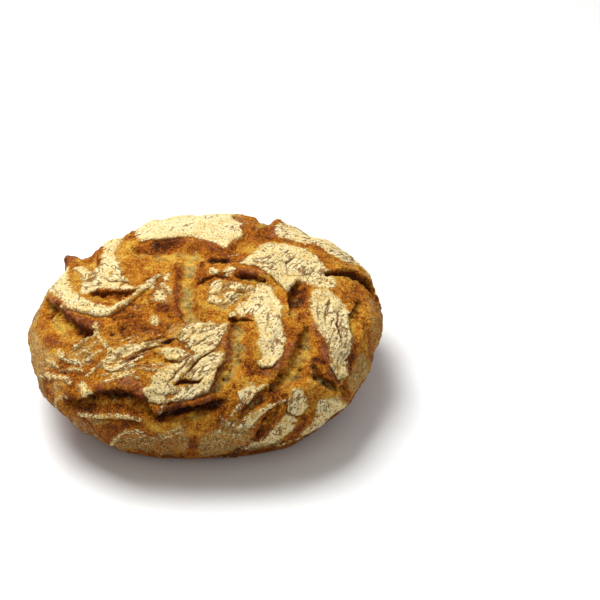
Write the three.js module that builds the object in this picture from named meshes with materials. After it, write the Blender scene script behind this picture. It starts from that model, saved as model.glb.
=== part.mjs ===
// A round, freely baked rye loaf, in millimetres, with +Z up.
//
// The loaf is one solid: a low dome on a flat sole. While it baked, its floured
// skin tore into raised plates, and the crumb welled up in the rifts between
// them. Places on the crust are given in crust millimetres: u to the right and v
// to the back, both measured along the surface from the crown.

import * as THREE from "three";

// Overall form.
const HALF_WIDTH = 125;
const HALF_DEPTH = 120;
const HEIGHT = 93;
const BELLY_HEIGHT = 46; // height of the widest ring
const SOLE_SHARE = 0.76; // the sole's outline as a share of the widest ring
const CROWN_POWER = 2.4; // how square the dome is above the belly
const TUCK_POWER = 1.3; // how square the side is below the belly

// The outline isn't a true ellipse: [waves around it, share of the radius, phase in degrees].
const OUTLINE_WAVES = [
  [2, 0.024, 107],
  [3, 0.022, -82],
  [4, 0.012, 122],
  [5, 0.017, 105],
];

// Surface lattice.
const RING_STEP = 5.5; // distance between rings along the surface
const SECTORS = 6; // the rings around the crown grow by this many corners each
const PROFILE_STEPS = 400;
const SOLE_FADE = 14; // the relief dies away over this length above the sole

// Soft swellings all over the crust: [height, u waves per mm, v waves per mm, phase].
const SWELLINGS = [
  [0.9, 0.011, 0.006, 0.4],
  [0.8, -0.007, 0.012, 2.1],
  [0.6, 0.019, -0.015, 4.0],
  [0.5, 0.004, 0.027, 1.2],
];

// Plates of floured skin that stand above the crust around them.
const PLATE_EDGE = 5; // width of the step at a plate's edge
const PLATES = [
  {
    lift: 3.5, // back plate, with its edge curled over the hollow below it
    outline: [[-62, 108], [-52, 56], [-38, 54], [-10, 50], [10, 33], [18, 52], [24, 106]],
  },
  {
    lift: 4, // left flap
    outline: [[-104, 46], [-112, 5], [-92, -22], [-62, -43], [-46, -26], [-34, -4], [-60, 4], [-80, 20]],
  },
  {
    lift: 4.5, // central plate
    outline: [[17, -54], [12, -80], [8, -106], [-5, -118], [-32, -116], [-38, -96], [-58, -84], [-28, -68]],
  },
  {
    lift: 4, // long plate right of the middle
    outline: [[40, -10], [52, -35], [52, -78], [41, -92], [34, -62], [18, -48], [32, -22]],
  },
  {
    lift: 4, // right plate
    outline: [[24, 14], [44, 44], [76, 30], [100, 0], [108, -40], [103, -76], [84, -70], [72, -34], [56, -12]],
  },
  {
    lift: 3, // front right rim
    outline: [[66, -108], [108, -100], [112, -128], [70, -158], [54, -152]],
  },
  {
    lift: 3, // front left rim
    outline: [[-96, -112], [-60, -121], [-36, -134], [-44, -162], [-96, -140]],
  },
  {
    lift: 3.5, // hidden back right
    outline: [[44, 66], [78, 52], [112, 34], [126, 66], [84, 112], [48, 118]],
  },
  {
    lift: 3.5, // hidden back left
    outline: [[-112, 66], [-84, 84], [-70, 128], [-96, 134], [-134, 92]],
  },
];

// Rifts where the skin tore open, by centre line, half width and depth.
const RIFTS = [
  { path: [[-58, 31], [-42, 40], [-24, 31], [-4, 20]], halfWidth: 9, depth: 6.5 },
  { path: [[-20, 18], [-14, 0], [-13, -22], [-11, -46]], halfWidth: 7, depth: 6 },
  { path: [[-117, -6], [-106, -28], [-90, -47], [-69, -56]], halfWidth: 8, depth: 7 },
  { path: [[-72, -15], [-60, -21], [-48, -22]], halfWidth: 6, depth: 6 },
  { path: [[-97, 56], [-86, 40], [-78, 18]], halfWidth: 6, depth: 6 },
  { path: [[-88, -104], [-62, -107], [-38, -118]], halfWidth: 7, depth: 7 },
  { path: [[-30, -129], [-5, -128], [14, -120]], halfWidth: 5, depth: 7 },
  { path: [[20, -52], [22, -80], [15, -113]], halfWidth: 8, depth: 6 },
  { path: [[64, -6], [62, -42], [67, -92]], halfWidth: 8, depth: 6 },
  { path: [[74, -92], [90, -94], [108, -92]], halfWidth: 6, depth: 6 },
  { path: [[36, -112], [50, -122], [52, -150]], halfWidth: 6, depth: 6 },
  { path: [[30, 50], [34, 84], [32, 124]], halfWidth: 8, depth: 6 },
  { path: [[92, 14], [120, 22], [146, 14]], halfWidth: 7, depth: 6 },
  { path: [[-66, 96], [-56, 124], [-60, 150]], halfWidth: 8, depth: 6 },
  { path: [[-20, 126], [14, 132], [44, 140]], halfWidth: 7, depth: 6 },
];

// Torn tips of skin that stand up from the crust: [u, v, height, radius].
const TIPS = [
  [-106, 46, 7, 9],
  [-20, 10, 2.5, 9],
  [14, 34, 2.5, 8],
];

// Half of the loaf's section as points {radius share, height, distance from the crown}.
function sectionProfile() {
  const points = [];
  for (let i = 0; i <= PROFILE_STEPS; i += 1) {
    const angle = (i / PROFILE_STEPS) * (Math.PI / 2);
    const rise = Math.pow(Math.max(Math.cos(angle), 0), 2 / CROWN_POWER);
    points.push({
      share: Math.pow(Math.sin(angle), 2 / CROWN_POWER),
      height: BELLY_HEIGHT + (HEIGHT - BELLY_HEIGHT) * rise,
    });
  }
  for (let i = 1; i <= PROFILE_STEPS; i += 1) {
    const angle = (i / PROFILE_STEPS) * (Math.PI / 2);
    const tuck = Math.pow(Math.max(Math.cos(angle), 0), 2 / TUCK_POWER);
    points.push({
      share: SOLE_SHARE + (1 - SOLE_SHARE) * tuck,
      height: BELLY_HEIGHT * (1 - Math.pow(Math.sin(angle), 2 / TUCK_POWER)),
    });
  }
  const meanRadius = (HALF_WIDTH + HALF_DEPTH) / 2;
  points[0].distance = 0;
  for (let i = 1; i < points.length; i += 1) {
    const outward = (points[i].share - points[i - 1].share) * meanRadius;
    const downward = points[i].height - points[i - 1].height;
    points[i].distance = points[i - 1].distance + Math.hypot(outward, downward);
  }
  return points;
}

const PROFILE = sectionProfile();
const CROWN_TO_BELLY = PROFILE[PROFILE_STEPS].distance;
const CROWN_TO_SOLE = PROFILE[PROFILE.length - 1].distance;

function profileAt(distance) {
  const last = PROFILE.length - 1;
  if (distance >= CROWN_TO_SOLE) {
    return PROFILE[last];
  }
  let high = 1;
  while (PROFILE[high].distance < distance) {
    high += 1;
  }
  const a = PROFILE[high - 1];
  const b = PROFILE[high];
  const t = (distance - a.distance) / (b.distance - a.distance);
  return {
    share: a.share + (b.share - a.share) * t,
    height: a.height + (b.height - a.height) * t,
  };
}

function outlineShare(angle) {
  let share = 1;
  for (const [waves, size, phase] of OUTLINE_WAVES) {
    share += size * Math.cos(waves * angle - THREE.MathUtils.degToRad(phase));
  }
  return share;
}

// The smooth form, before any relief.
function smoothPoint(u, v) {
  const angle = Math.atan2(v, u);
  const { share, height } = profileAt(Math.hypot(u, v));
  const reach = share * outlineShare(angle);
  return new THREE.Vector3(
    reach * Math.cos(angle) * HALF_WIDTH,
    reach * Math.sin(angle) * HALF_DEPTH,
    height,
  );
}

function smoothNormal(u, v) {
  const small = 0.5;
  const alongU = smoothPoint(u + small, v).sub(smoothPoint(u - small, v));
  const alongV = smoothPoint(u, v + small).sub(smoothPoint(u, v - small));
  return alongU.cross(alongV).normalize();
}

function distanceToSegment(u, v, start, end) {
  const du = end[0] - start[0];
  const dv = end[1] - start[1];
  const along = ((u - start[0]) * du + (v - start[1]) * dv) / (du * du + dv * dv);
  const t = Math.min(Math.max(along, 0), 1);
  return Math.hypot(u - start[0] - t * du, v - start[1] - t * dv);
}

function distanceToPath(u, v, path) {
  let nearest = Infinity;
  for (let i = 1; i < path.length; i += 1) {
    nearest = Math.min(nearest, distanceToSegment(u, v, path[i - 1], path[i]));
  }
  return nearest;
}

// Distance inside a closed outline, negative outside it.
function distanceInside(u, v, outline) {
  let inside = false;
  let nearest = Infinity;
  for (let i = 0; i < outline.length; i += 1) {
    const start = outline[i];
    const end = outline[(i + 1) % outline.length];
    nearest = Math.min(nearest, distanceToSegment(u, v, start, end));
    const crosses = start[1] > v !== end[1] > v;
    if (crosses && u < start[0] + ((v - start[1]) * (end[0] - start[0])) / (end[1] - start[1])) {
      inside = !inside;
    }
  }
  return inside ? nearest : -nearest;
}

// How far the crust stands above the smooth form.
function reliefAt(u, v) {
  let relief = 0;
  for (const [height, wavesU, wavesV, phase] of SWELLINGS) {
    relief += height * Math.sin(2 * Math.PI * (wavesU * u + wavesV * v) + phase);
  }
  let lift = 0;
  for (const plate of PLATES) {
    const inside = distanceInside(u, v, plate.outline);
    lift = Math.max(lift, plate.lift * THREE.MathUtils.smoothstep(inside, -PLATE_EDGE, PLATE_EDGE));
  }
  let cut = 0;
  for (const rift of RIFTS) {
    const away = distanceToPath(u, v, rift.path) / rift.halfWidth;
    cut = Math.max(cut, rift.depth * Math.exp(-away * away));
  }
  let tip = 0;
  for (const [tipU, tipV, height, radius] of TIPS) {
    const away = Math.hypot(u - tipU, v - tipV) / radius;
    tip = Math.max(tip, height * Math.exp(-away * away));
  }
  const aboveSole = CROWN_TO_SOLE - Math.hypot(u, v);
  return (relief + lift - cut + tip) * THREE.MathUtils.smoothstep(aboveSole, 0, SOLE_FADE);
}

function crustPoint(distance, angle) {
  const u = distance * Math.cos(angle);
  const v = distance * Math.sin(angle);
  return smoothPoint(u, v).addScaledVector(smoothNormal(u, v), reliefAt(u, v));
}

// Rings of corners from the crown down to the sole, joined by triangles. Up to the
// belly each ring has six corners more than the one inside it; below it none are added.
function loafGeometry() {
  const bellyRing = Math.round(CROWN_TO_BELLY / RING_STEP);
  const ringCount = Math.round(CROWN_TO_SOLE / RING_STEP);
  const positions = [...crustPoint(0, 0).toArray()];
  const ringStart = [0];
  const ringSize = [1];
  for (let ring = 1; ring <= ringCount; ring += 1) {
    const size = SECTORS * Math.min(ring, bellyRing);
    ringStart.push(positions.length / 3);
    ringSize.push(size);
    const distance = (CROWN_TO_SOLE * ring) / ringCount;
    for (let i = 0; i < size; i += 1) {
      positions.push(...crustPoint(distance, (2 * Math.PI * i) / size).toArray());
    }
  }
  const corner = (ring, i) => ringStart[ring] + (i % ringSize[ring]);
  const triangles = [];
  for (let ring = 1; ring <= ringCount; ring += 1) {
    const inner = ring - 1;
    const growing = ring <= bellyRing;
    const perSector = ringSize[ring] / SECTORS;
    const shift = growing ? 1 : 0;
    for (let sector = 0; sector < SECTORS; sector += 1) {
      for (let i = 0; i < perSector; i += 1) {
        const out = sector * perSector + i;
        const back = sector * (perSector - shift) + i;
        triangles.push(corner(inner, back), corner(ring, out), corner(ring, out + 1));
        if (!growing || i < perSector - 1) {
          triangles.push(corner(inner, back), corner(ring, out + 1), corner(inner, back + 1));
        }
      }
    }
  }
  const soleCentre = positions.length / 3;
  positions.push(0, 0, 0);
  for (let i = 0; i < ringSize[ringCount]; i += 1) {
    triangles.push(soleCentre, corner(ringCount, i + 1), corner(ringCount, i));
  }
  const geometry = new THREE.BufferGeometry();
  geometry.setAttribute("position", new THREE.Float32BufferAttribute(positions, 3));
  geometry.setIndex(triangles);
  geometry.computeVertexNormals();
  return geometry;
}

// The origin goes to the middle of the bounding box, on the sole.
function centredOnSole(geometry) {
  geometry.computeBoundingBox();
  const middle = geometry.boundingBox.getCenter(new THREE.Vector3());
  geometry.translate(-middle.x, -middle.y, -geometry.boundingBox.min.z);
  return geometry;
}

const crust = new THREE.MeshStandardMaterial({ color: 0xa3763f, roughness: 0.85, metalness: 0 });
const loaf = new THREE.Mesh(centredOnSole(loafGeometry()), crust);
loaf.name = "loaf";

const bread = new THREE.Group();
bread.add(loaf);

export default bread;
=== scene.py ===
"""A round rye loaf with a torn and floured crust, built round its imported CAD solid.

The crust is one fine mesh. Its smooth form is the CAD solid's, and places on it are
given in crust millimetres: u to the right and v to the back, both measured along the
surface from the crown. The tears, floured plates, ridges, folds, cracks and pits are
named shapes in those coordinates, roughened by seeded noise. They move the mesh, and
they leave masks on it that the material colours.
"""

import math

import bpy
import numpy as np
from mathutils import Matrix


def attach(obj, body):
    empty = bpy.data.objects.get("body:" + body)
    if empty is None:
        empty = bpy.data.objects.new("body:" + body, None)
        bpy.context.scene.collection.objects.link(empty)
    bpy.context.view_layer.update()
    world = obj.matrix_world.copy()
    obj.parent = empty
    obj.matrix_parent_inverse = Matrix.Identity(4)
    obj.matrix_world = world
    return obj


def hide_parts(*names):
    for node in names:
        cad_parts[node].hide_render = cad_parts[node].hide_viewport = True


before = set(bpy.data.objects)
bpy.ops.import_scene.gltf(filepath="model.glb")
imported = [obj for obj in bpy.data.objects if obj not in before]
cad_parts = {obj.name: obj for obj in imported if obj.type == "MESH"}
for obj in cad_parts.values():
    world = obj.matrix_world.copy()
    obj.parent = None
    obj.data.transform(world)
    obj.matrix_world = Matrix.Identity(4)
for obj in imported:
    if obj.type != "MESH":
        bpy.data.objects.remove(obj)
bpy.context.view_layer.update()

MM = 0.001

# ---------------------------------------------------------------- the loaf's form

HALF_WIDTH = 125.0
HALF_DEPTH = 120.0
HEIGHT = 93.0
BELLY_HEIGHT = 46.0  # height of the widest ring
SOLE_SHARE = 0.76  # the sole's outline as a share of the widest ring
CROWN_POWER = 2.4  # how square the dome is above the belly
TUCK_POWER = 1.3  # how square the side is below the belly
# The outline isn't a true ellipse: (waves around it, share of the radius, phase in degrees).
OUTLINE_WAVES = ((2, 0.024, 107), (3, 0.022, -82), (4, 0.012, 122), (5, 0.017, 105))
# Soft swellings all over the crust: (height, u waves per mm, v waves per mm, phase).
SWELLINGS = (
    (0.9, 0.011, 0.006, 0.4),
    (0.8, -0.007, 0.012, 2.1),
    (0.6, 0.019, -0.015, 4.0),
    (0.5, 0.004, 0.027, 1.2),
)
SOLE_FADE = 12.0  # the relief dies away over this length above the sole

# The mesh: rings from the crown to the belly, from there to the sole, and on the sole.
CROWN_RINGS = 140
SIDE_RINGS = 35
SECTORS = 6  # a ring near the crown has this many corners more than the one inside it
SOLE_BANDS = ((0.97, 2), (0.55, 14), (0.2, 10), (0.0, 4))  # (share of the sole reached, rings)

# ---------------------------------------------------------------- what the crust shows

# Tears, where the skin opened and the crumb welled up: (depth, ear, pale, shade, path).
# ear is how far the skin on the path's left hangs over the tear, pale is how grey the
# floor is, and shade how dark the painted shade under the ear is. The path's points are (u, v, half
# width).
TEARS = {
    "back hollow": (5.0, 0.0, 0.55, 0.3, ((-56, 38, 6), (-42, 35, 13), (-28, 33, 14), (-13, 26, 10),
        (-4, 19, 5))),
    "middle rift": (5.0, 0.0, 0.78, 0.0, ((-13, 20, 8), (-12, 8, 8), (-12, -8, 7), (-11.5, -24, 6),
        (-11, -38, 6.5), (-8, -49, 6), (2, -53, 2))),
    "left rift": (6.0, 0.7, 0.3, 0.3, ((-117, -3, 3), (-113, -14, 6), (-105, -27, 8), (-97, -38, 8),
        (-88, -48, 8), (-79, -54, 6), (-69, -58, 3))),
    "flap pocket": (4.0, 0.6, 0.1, 0.5, ((-76, -16, 2.5), (-68, -21, 6.5), (-59, -26, 8), (-51, -24, 6),
        (-45, -19, 2))),
    "horn notch": (8.5, 0.0, 0.0, 0.0, ((-98, 58, 5), (-92, 46, 6), (-88, 34, 6), (-83, 24, 4),
        (-79, 17, 2))),
    "front left rift": (6.0, 0.6, 0.15, 0.6, ((-91, -103, 2.5), (-78, -107, 5), (-64, -109, 7.5),
        (-52, -112, 8), (-42, -118, 6), (-34, -123, 3))),
    "front gash": (6.5, 0.5, 0.1, 1.6, ((-34, -127, 1.5), (-22, -130, 4.5), (-8, -130, 6),
        (4, -127.5, 5.5), (15, -121, 2))),
    "plate side rift": (4.5, 0.2, 0.75, 0.2, ((11, -114, 3), (16, -105, 6), (21, -94, 7.5),
        (24, -80, 7.5), (24, -68, 7), (24, -58, 5))),
    "plate window": (1.6, 0.0, 0.0, 0.3, ((-22, -93, 2), (-28, -88, 5), (-35, -87, 5), (-41, -86, 2))),
    "under the curl": (1.4, 0.5, 0.0, 0.4, ((-29, -82, 0.6), (-25, -88, 1.8), (-19, -91.5, 1.8),
        (-13, -91.5, 0.6))),
    "boot hollow": (5.0, 0.6, 0.1, 0.9, ((21, -7, 1.5), (27, -8.5, 3.2), (34, -9, 3.4), (40, -8.5, 1.5))),
    "boot sole": (3.5, 0.9, 0.1, 0.7, ((17, -51, 1.2), (21, -52, 2.8), (27, -52, 2.4), (32, -54, 1.2))),
    "right rift": (6.0, 0.3, 0.4, 0.5, ((59, -46, 3), (61, -34, 5.5), (64, -20, 6.5), (66, -4, 4.5))),
    "lower right rift": (5.0, 0.3, 0.58, 0.4, ((50, -106, 4), (57, -99, 6), (64, -89, 8), (66.5, -78, 8),
        (68, -66, 6.5), (68, -56, 3))),
    "first right pit": (4.0, 0.3, 0.7, 0.4, ((74, -84, 2), (78, -89, 3.8), (82, -94, 2.5))),
    "second right pit": (4.6, 0.3, 0.8, 0.7, ((84, -90.5, 2), (90, -92.5, 4.2), (96, -95, 2.2))),
    "third right pit": (3.5, 0.3, 0.4, 0.4, ((101, -91, 2.5), (107, -92, 3.5), (113, -91, 2))),
    "front right pocket": (4.5, 0.3, 0.66, 0.3, ((29, -131, 1.5), (35, -124, 3), (41, -116, 4.5),
        (45, -110, 3.5))),
    "front right slit": (4.5, 0.0, 0.3, 0.0, ((53, -117, 2), (51, -129, 4.5), (49, -143, 4.5),
        (45, -160, 2))),
    "crown crack": (2.4, 0.5, 0.0, 0.5, ((-6, -14, 1), (0, -9.5, 1.8), (6, -7, 2.0), (12, -9, 1))),
    "crown pit": (3.0, 0.4, 0.7, 0.4, ((2, 13, 1.5), (8, 14.5, 2.6), (13, 16, 1.5))),
    "behind the tongue": (5.0, 0.0, 0.0, 0.7, ((17, 30, 2), (21, 40, 4), (24, 50, 4), (25, 64, 2))),
    "back right rift": (4.6, 0.5, 0.7, 0.6, ((30, 152, 2), (35, 130, 5), (39, 108, 8), (36, 84, 7),
        (31, 66, 3))),
    "right side rift": (6.5, 0.8, 0.5, 0.7, ((84, 14, 3), (104, 22, 6), (124, 22, 6.5), (148, 13, 3))),
    "back left rift": (6.5, 0.6, 0.6, 0.6, ((-62, 84, 3), (-56, 104, 7), (-56, 128, 7), (-62, 154, 3))),
    "back gash": (6.5, 1.0, 0.4, 0.9, ((42, 146, 2), (16, 138, 5.5), (-8, 131, 6), (-34, 122, 2))),
    "right shoulder": (5.0, 0.5, 0.2, 0.7, ((108, -56, 2), (105, -44, 4.5), (106, -28, 5),
        (110, -12, 3))),
}

# Where a plate's edge hangs over the crust below it: the depth there, how dark the painted
# shade under it is, and a path of (u, v, half width) with the plate on its left.
EDGES = (
    (1.4, 0.7, ((-94, -27, 0.3), (-84, -33, 0.6), (-74, -38, 0.7), (-65, -43.5, 0.7), (-57, -45.5, 0.8),
        (-50, -40, 0.8), (-45, -32, 0.8), (-40, -24, 0.8), (-36, -15, 0.7), (-31, -4, 0.3))),
    (1.6, 0.9, ((-55, 53, 0.4), (-46, 54.5, 0.8), (-40, 51, 1.0), (-30, 49.5, 1.2), (-24, 48, 1.0),
        (-12, 47.5, 0.8), (-8, 44, 0.7), (-3, 39, 0.6), (3, 34, 0.3))),
    (1.2, 0.6, ((-36, -110, 0.4), (-33, -117, 0.8), (-27, -120, 0.8), (-15, -120.5, 0.9), (-4, -119, 0.9),
        (6, -117, 0.9), (10, -108, 0.7), (13, -97, 0.7), (17, -89, 0.4))),
    (1.2, 0.45, ((-62, -82, 0.4), (-58, -88, 0.8), (-50, -91, 0.9), (-40, -90.5, 0.8), (-36, -88, 0.4))),
    (1.4, 0.8, ((36, -90, 0.4), (41, -93, 0.9), (47, -91.5, 0.9), (52, -82, 0.5), (53, -70, 0.4))),
    (1.3, 0.7, ((59, -112, 0.4), (61, -120.5, 0.8), (72, -120.5, 0.8), (75, -112, 0.4))),
    (1.0, 0.5, ((26, -113, 0.3), (28, -120, 0.6), (35, -120.5, 0.6), (43, -112, 0.3))),
    (1.2, 0.6, ((30, -138, 0.3), (39, -136, 0.7), (43, -129, 0.7), (50, -121, 0.3))),
    (1.2, 0.6, ((-82, -103, 0.4), (-73, -104.5, 0.8), (-68, -102, 0.4))),
    (1.2, 0.6, ((-90, -119, 0.4), (-70, -121, 0.7), (-55, -125.5, 0.7), (-42, -130, 0.4))),
    (1.4, 0.8, ((22, 8, 0.4), (34, 6, 0.9), (46, -5, 0.9), (57, -18, 0.4))),
    (1.4, 0.7, ((84, -80, 0.4), (94, -87.5, 0.8), (104, -80, 0.4))),
    (1.4, 0.9, ((2, 2, 0.4), (7, -4.5, 0.9), (14, -5, 1.0), (20, -3, 0.4))),
    (1.4, 0.7, ((119, 88, 0.4), (102, 93, 0.8), (97, 107, 0.9), (84, 108, 0.8), (76, 123, 0.9),
        (62, 129, 0.4))),
    (1.4, 0.7, ((-73, 146, 0.4), (-92, 142, 0.9), (-103, 130, 0.8), (-118, 130, 0.9), (-120, 113, 0.8),
        (-136, 103, 0.4))),
    (1.4, 0.7, ((12, 122, 0.4), (0, 116, 0.8), (-12, 126, 0.9), (-28, 118, 0.8), (-42, 124, 0.9),
        (-51, 110, 0.4))),
)

# Colour only: (width, shift, path). A shift of -1 is yellow ochre and 1 is nearly black. Most are
# the crust's own colour; the strongly dark ones along gashes, hollows, pits and under lips are painted
# shade.
STREAKS_AND_SHADE = (
    (5.0, -0.12, ((-100, 26), (-95, 14), (-91, 2), (-87, -8), (-80, -18))),
    (3.0, 0.15, ((-110, 56), (-103, 40), (-98, 30))),
    (6.0, -0.22, ((-62, 60), (-61, 40), (-62, 18))),
    (5.0, -0.2, ((-91, 44), (-86, 28), (-80, 16))),
    (1.6, 0.3, ((-87, 46), (-82, 34), (-79, 24))),
    (4.0, 0.35, ((-74, -15), (-64, -19), (-54, -23))),
    (2.5, 0.3, ((-69, -27), (-62, -28))),
    (5.0, 0.16, ((-40, -88), (-30, -90), (-24, -93))),
    (3.0, 0.25, ((-60, 38), (-57, 34))),
    (3.5, 0.42, ((-42, 49), (-39, 42), (-38, 35))),
    (3.5, 0.4, ((-38, 48), (-30, 46), (-22, 45))),
    (5.0, 0.3, ((-52, 47), (-50, 40), (-47, 34))),
    (5.0, 0.12, ((-28, 43), (-14, 41), (0, 33), (10, 24))),
    (5.0, -0.1, ((-57, 52), (-57, 40))),
    (3.0, 0.5, ((3, 14), (8, 15), (13, 15))),
    (4.5, 0.1, ((4, 26), (14, 24), (18, 36), (24, 52))),
    (8.0, 0.04, ((-52, 8), (-38, 8), (-26, 6))),
    (5.0, 0.3, ((-30, -18), (-27, -30), (-24, -42))),
    (3.0, 0.55, ((-5, 11), (-4.5, 9))),
    (4.0, -0.04, ((-3, -8), (-3, -34))),
    (1.6, 0.3, ((-20, 4), (-19, -12), (-17.5, -30), (-16.5, -44))),
    (2.0, 0.4, ((-4, -13), (2, -8), (8, -6), (14, -9))),
    (3.5, -0.1, ((-14, 12), (-10, 2), (-9, -8))),
    (6.0, 0.2, ((-50, -44), (-40, -58), (-28, -60))),
    (9.0, -0.12, ((-100, -58), (-84, -68))),
    (7.0, 0.1, ((-100, -76), (-82, -86), (-66, -92))),
    (7.0, 0.08, ((-94, -112), (-84, -128), (-62, -131), (-46, -131))),
    (28.0, 0.08, ((-112, -70), (-88, -104), (-60, -140))),
    (10.0, 0.09, ((-96, -124), (-84, -138), (-66, -146), (-40, -152), (-10, -156))),
    (5.0, -0.12, ((-38, -128), (-30, -138), (-24, -150))),
    (9.0, -0.05, ((-20, -136), (2, -140))),
    (6.0, 0.06, ((-34, -150), (-12, -158), (6, -160))),
    (4.0, -0.06, ((54, -14), (55, -34), (56, -48))),
    (5.0, 0.75, ((65, -8), (66, -18), (61, -26))),
    (3.0, 0.15, ((70, -24), (69, -36), (64, -46), (60, -54))),
    (4.0, 0.1, ((58, -58), (56, -74), (52, -86))),
    (3.5, 0.2, ((77, -54), (80, -64), (78, -76))),
    (2.5, 0.45, ((75, -78), (80, -78))),
    (2.0, 0.4, ((33, -98), (42, -94), (52, -88))),
    (4.0, 0.1, ((30, -62), (31, -78), (30, -94))),
    (3.0, 0.5, ((19, -50), (20, -54))),
    (7.0, 0.5, ((-82, -45), (-74, -52), (-68, -55))),
    (7.0, 0.24, ((-78, -108), (-62, -111), (-48, -116), (-38, -122))),
    (4.0, 0.3, ((-90, -101), (-86, -102))),
    (4.0, 0.3, ((-66, -128), (-54, -130), (-46, -130))),
    (5.0, -0.06, ((-36, -124), (-34, -138))),
    (4.0, 0.9, ((-27, -128.5), (-8, -128), (5, -125.5), (11, -123))),
    (2.5, -0.2, ((-24, -134), (0, -133), (12, -128))),
    (2.6, 0.55, ((-64, -102.5), (-50, -107.5), (-41, -111), (-36, -115))),
    (2.2, 0.4, ((76, -86.5), (80, -89), (83, -92))),
    (2.2, 0.4, ((86, -90), (92, -90.5))),
    (2.4, 0.45, ((30, -126), (38, -118), (42, -114))),
    (3.0, 0.3, ((45, -110), (51, -104), (57, -100))),
    (1.6, 0.35, ((17, -58), (13, -72), (11, -80))),
    (3.0, 0.45, ((10, -96), (8, -104), (7, -112))),
    (5.0, 0.12, ((-16, -122), (2, -121))),
    (3.0, 0.5, ((50, -127), (49, -133))),
    (3.0, 0.6, ((49, -141), (48, -148))),
    (4.0, 0.15, ((56, -124), (56, -144))),
    (4.0, 0.2, ((40, -118), (44, -112))),
    (3.0, 0.35, ((-114, -14), (-112, -19))),
    (2.5, 0.3, ((-101, -50), (-94, -58), (-88, -62))),
    (3.0, -0.15, ((-110, -22), (-100, -38), (-92, -50), (-80, -58))),
    (6.0, 0.4, ((99, -44), (106, -56), (107, -72))),
    (4.0, 0.35, ((84, -72), (90, -84))),
    (9.0, -0.14, ((62, -100), (84, -101), (104, -100))),
    (5.0, -0.12, ((12, -118), (24, -112), (30, -100))),
    (7.0, 0.16, ((12, -128), (20, -142), (22, -160))),
    (6.0, 0.22, ((44, -138), (42, -156), (38, -172))),
    (7.0, 0.2, ((78, -122), (82, -140), (76, -160))),
    (8.0, 0.1, ((16, 10), (22, -2), (20, -14))),
    (7.0, 0.06, ((8, 26), (2, 20), (4, 8))),
    (3.5, 0.22, ((70, -84), (68, -96), (64, -100))),
    (2.4, 0.25, ((47, -104), (52, -108), (50, -112))),
    (2.2, 0.2, ((23, -62), (21, -74), (20, -86))),
    (12.0, 0.2, ((60, 62), (30, 66), (14, 92))),
    (10.0, 0.15, ((-90, 64), (-60, 72), (-40, 60))),
)

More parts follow.
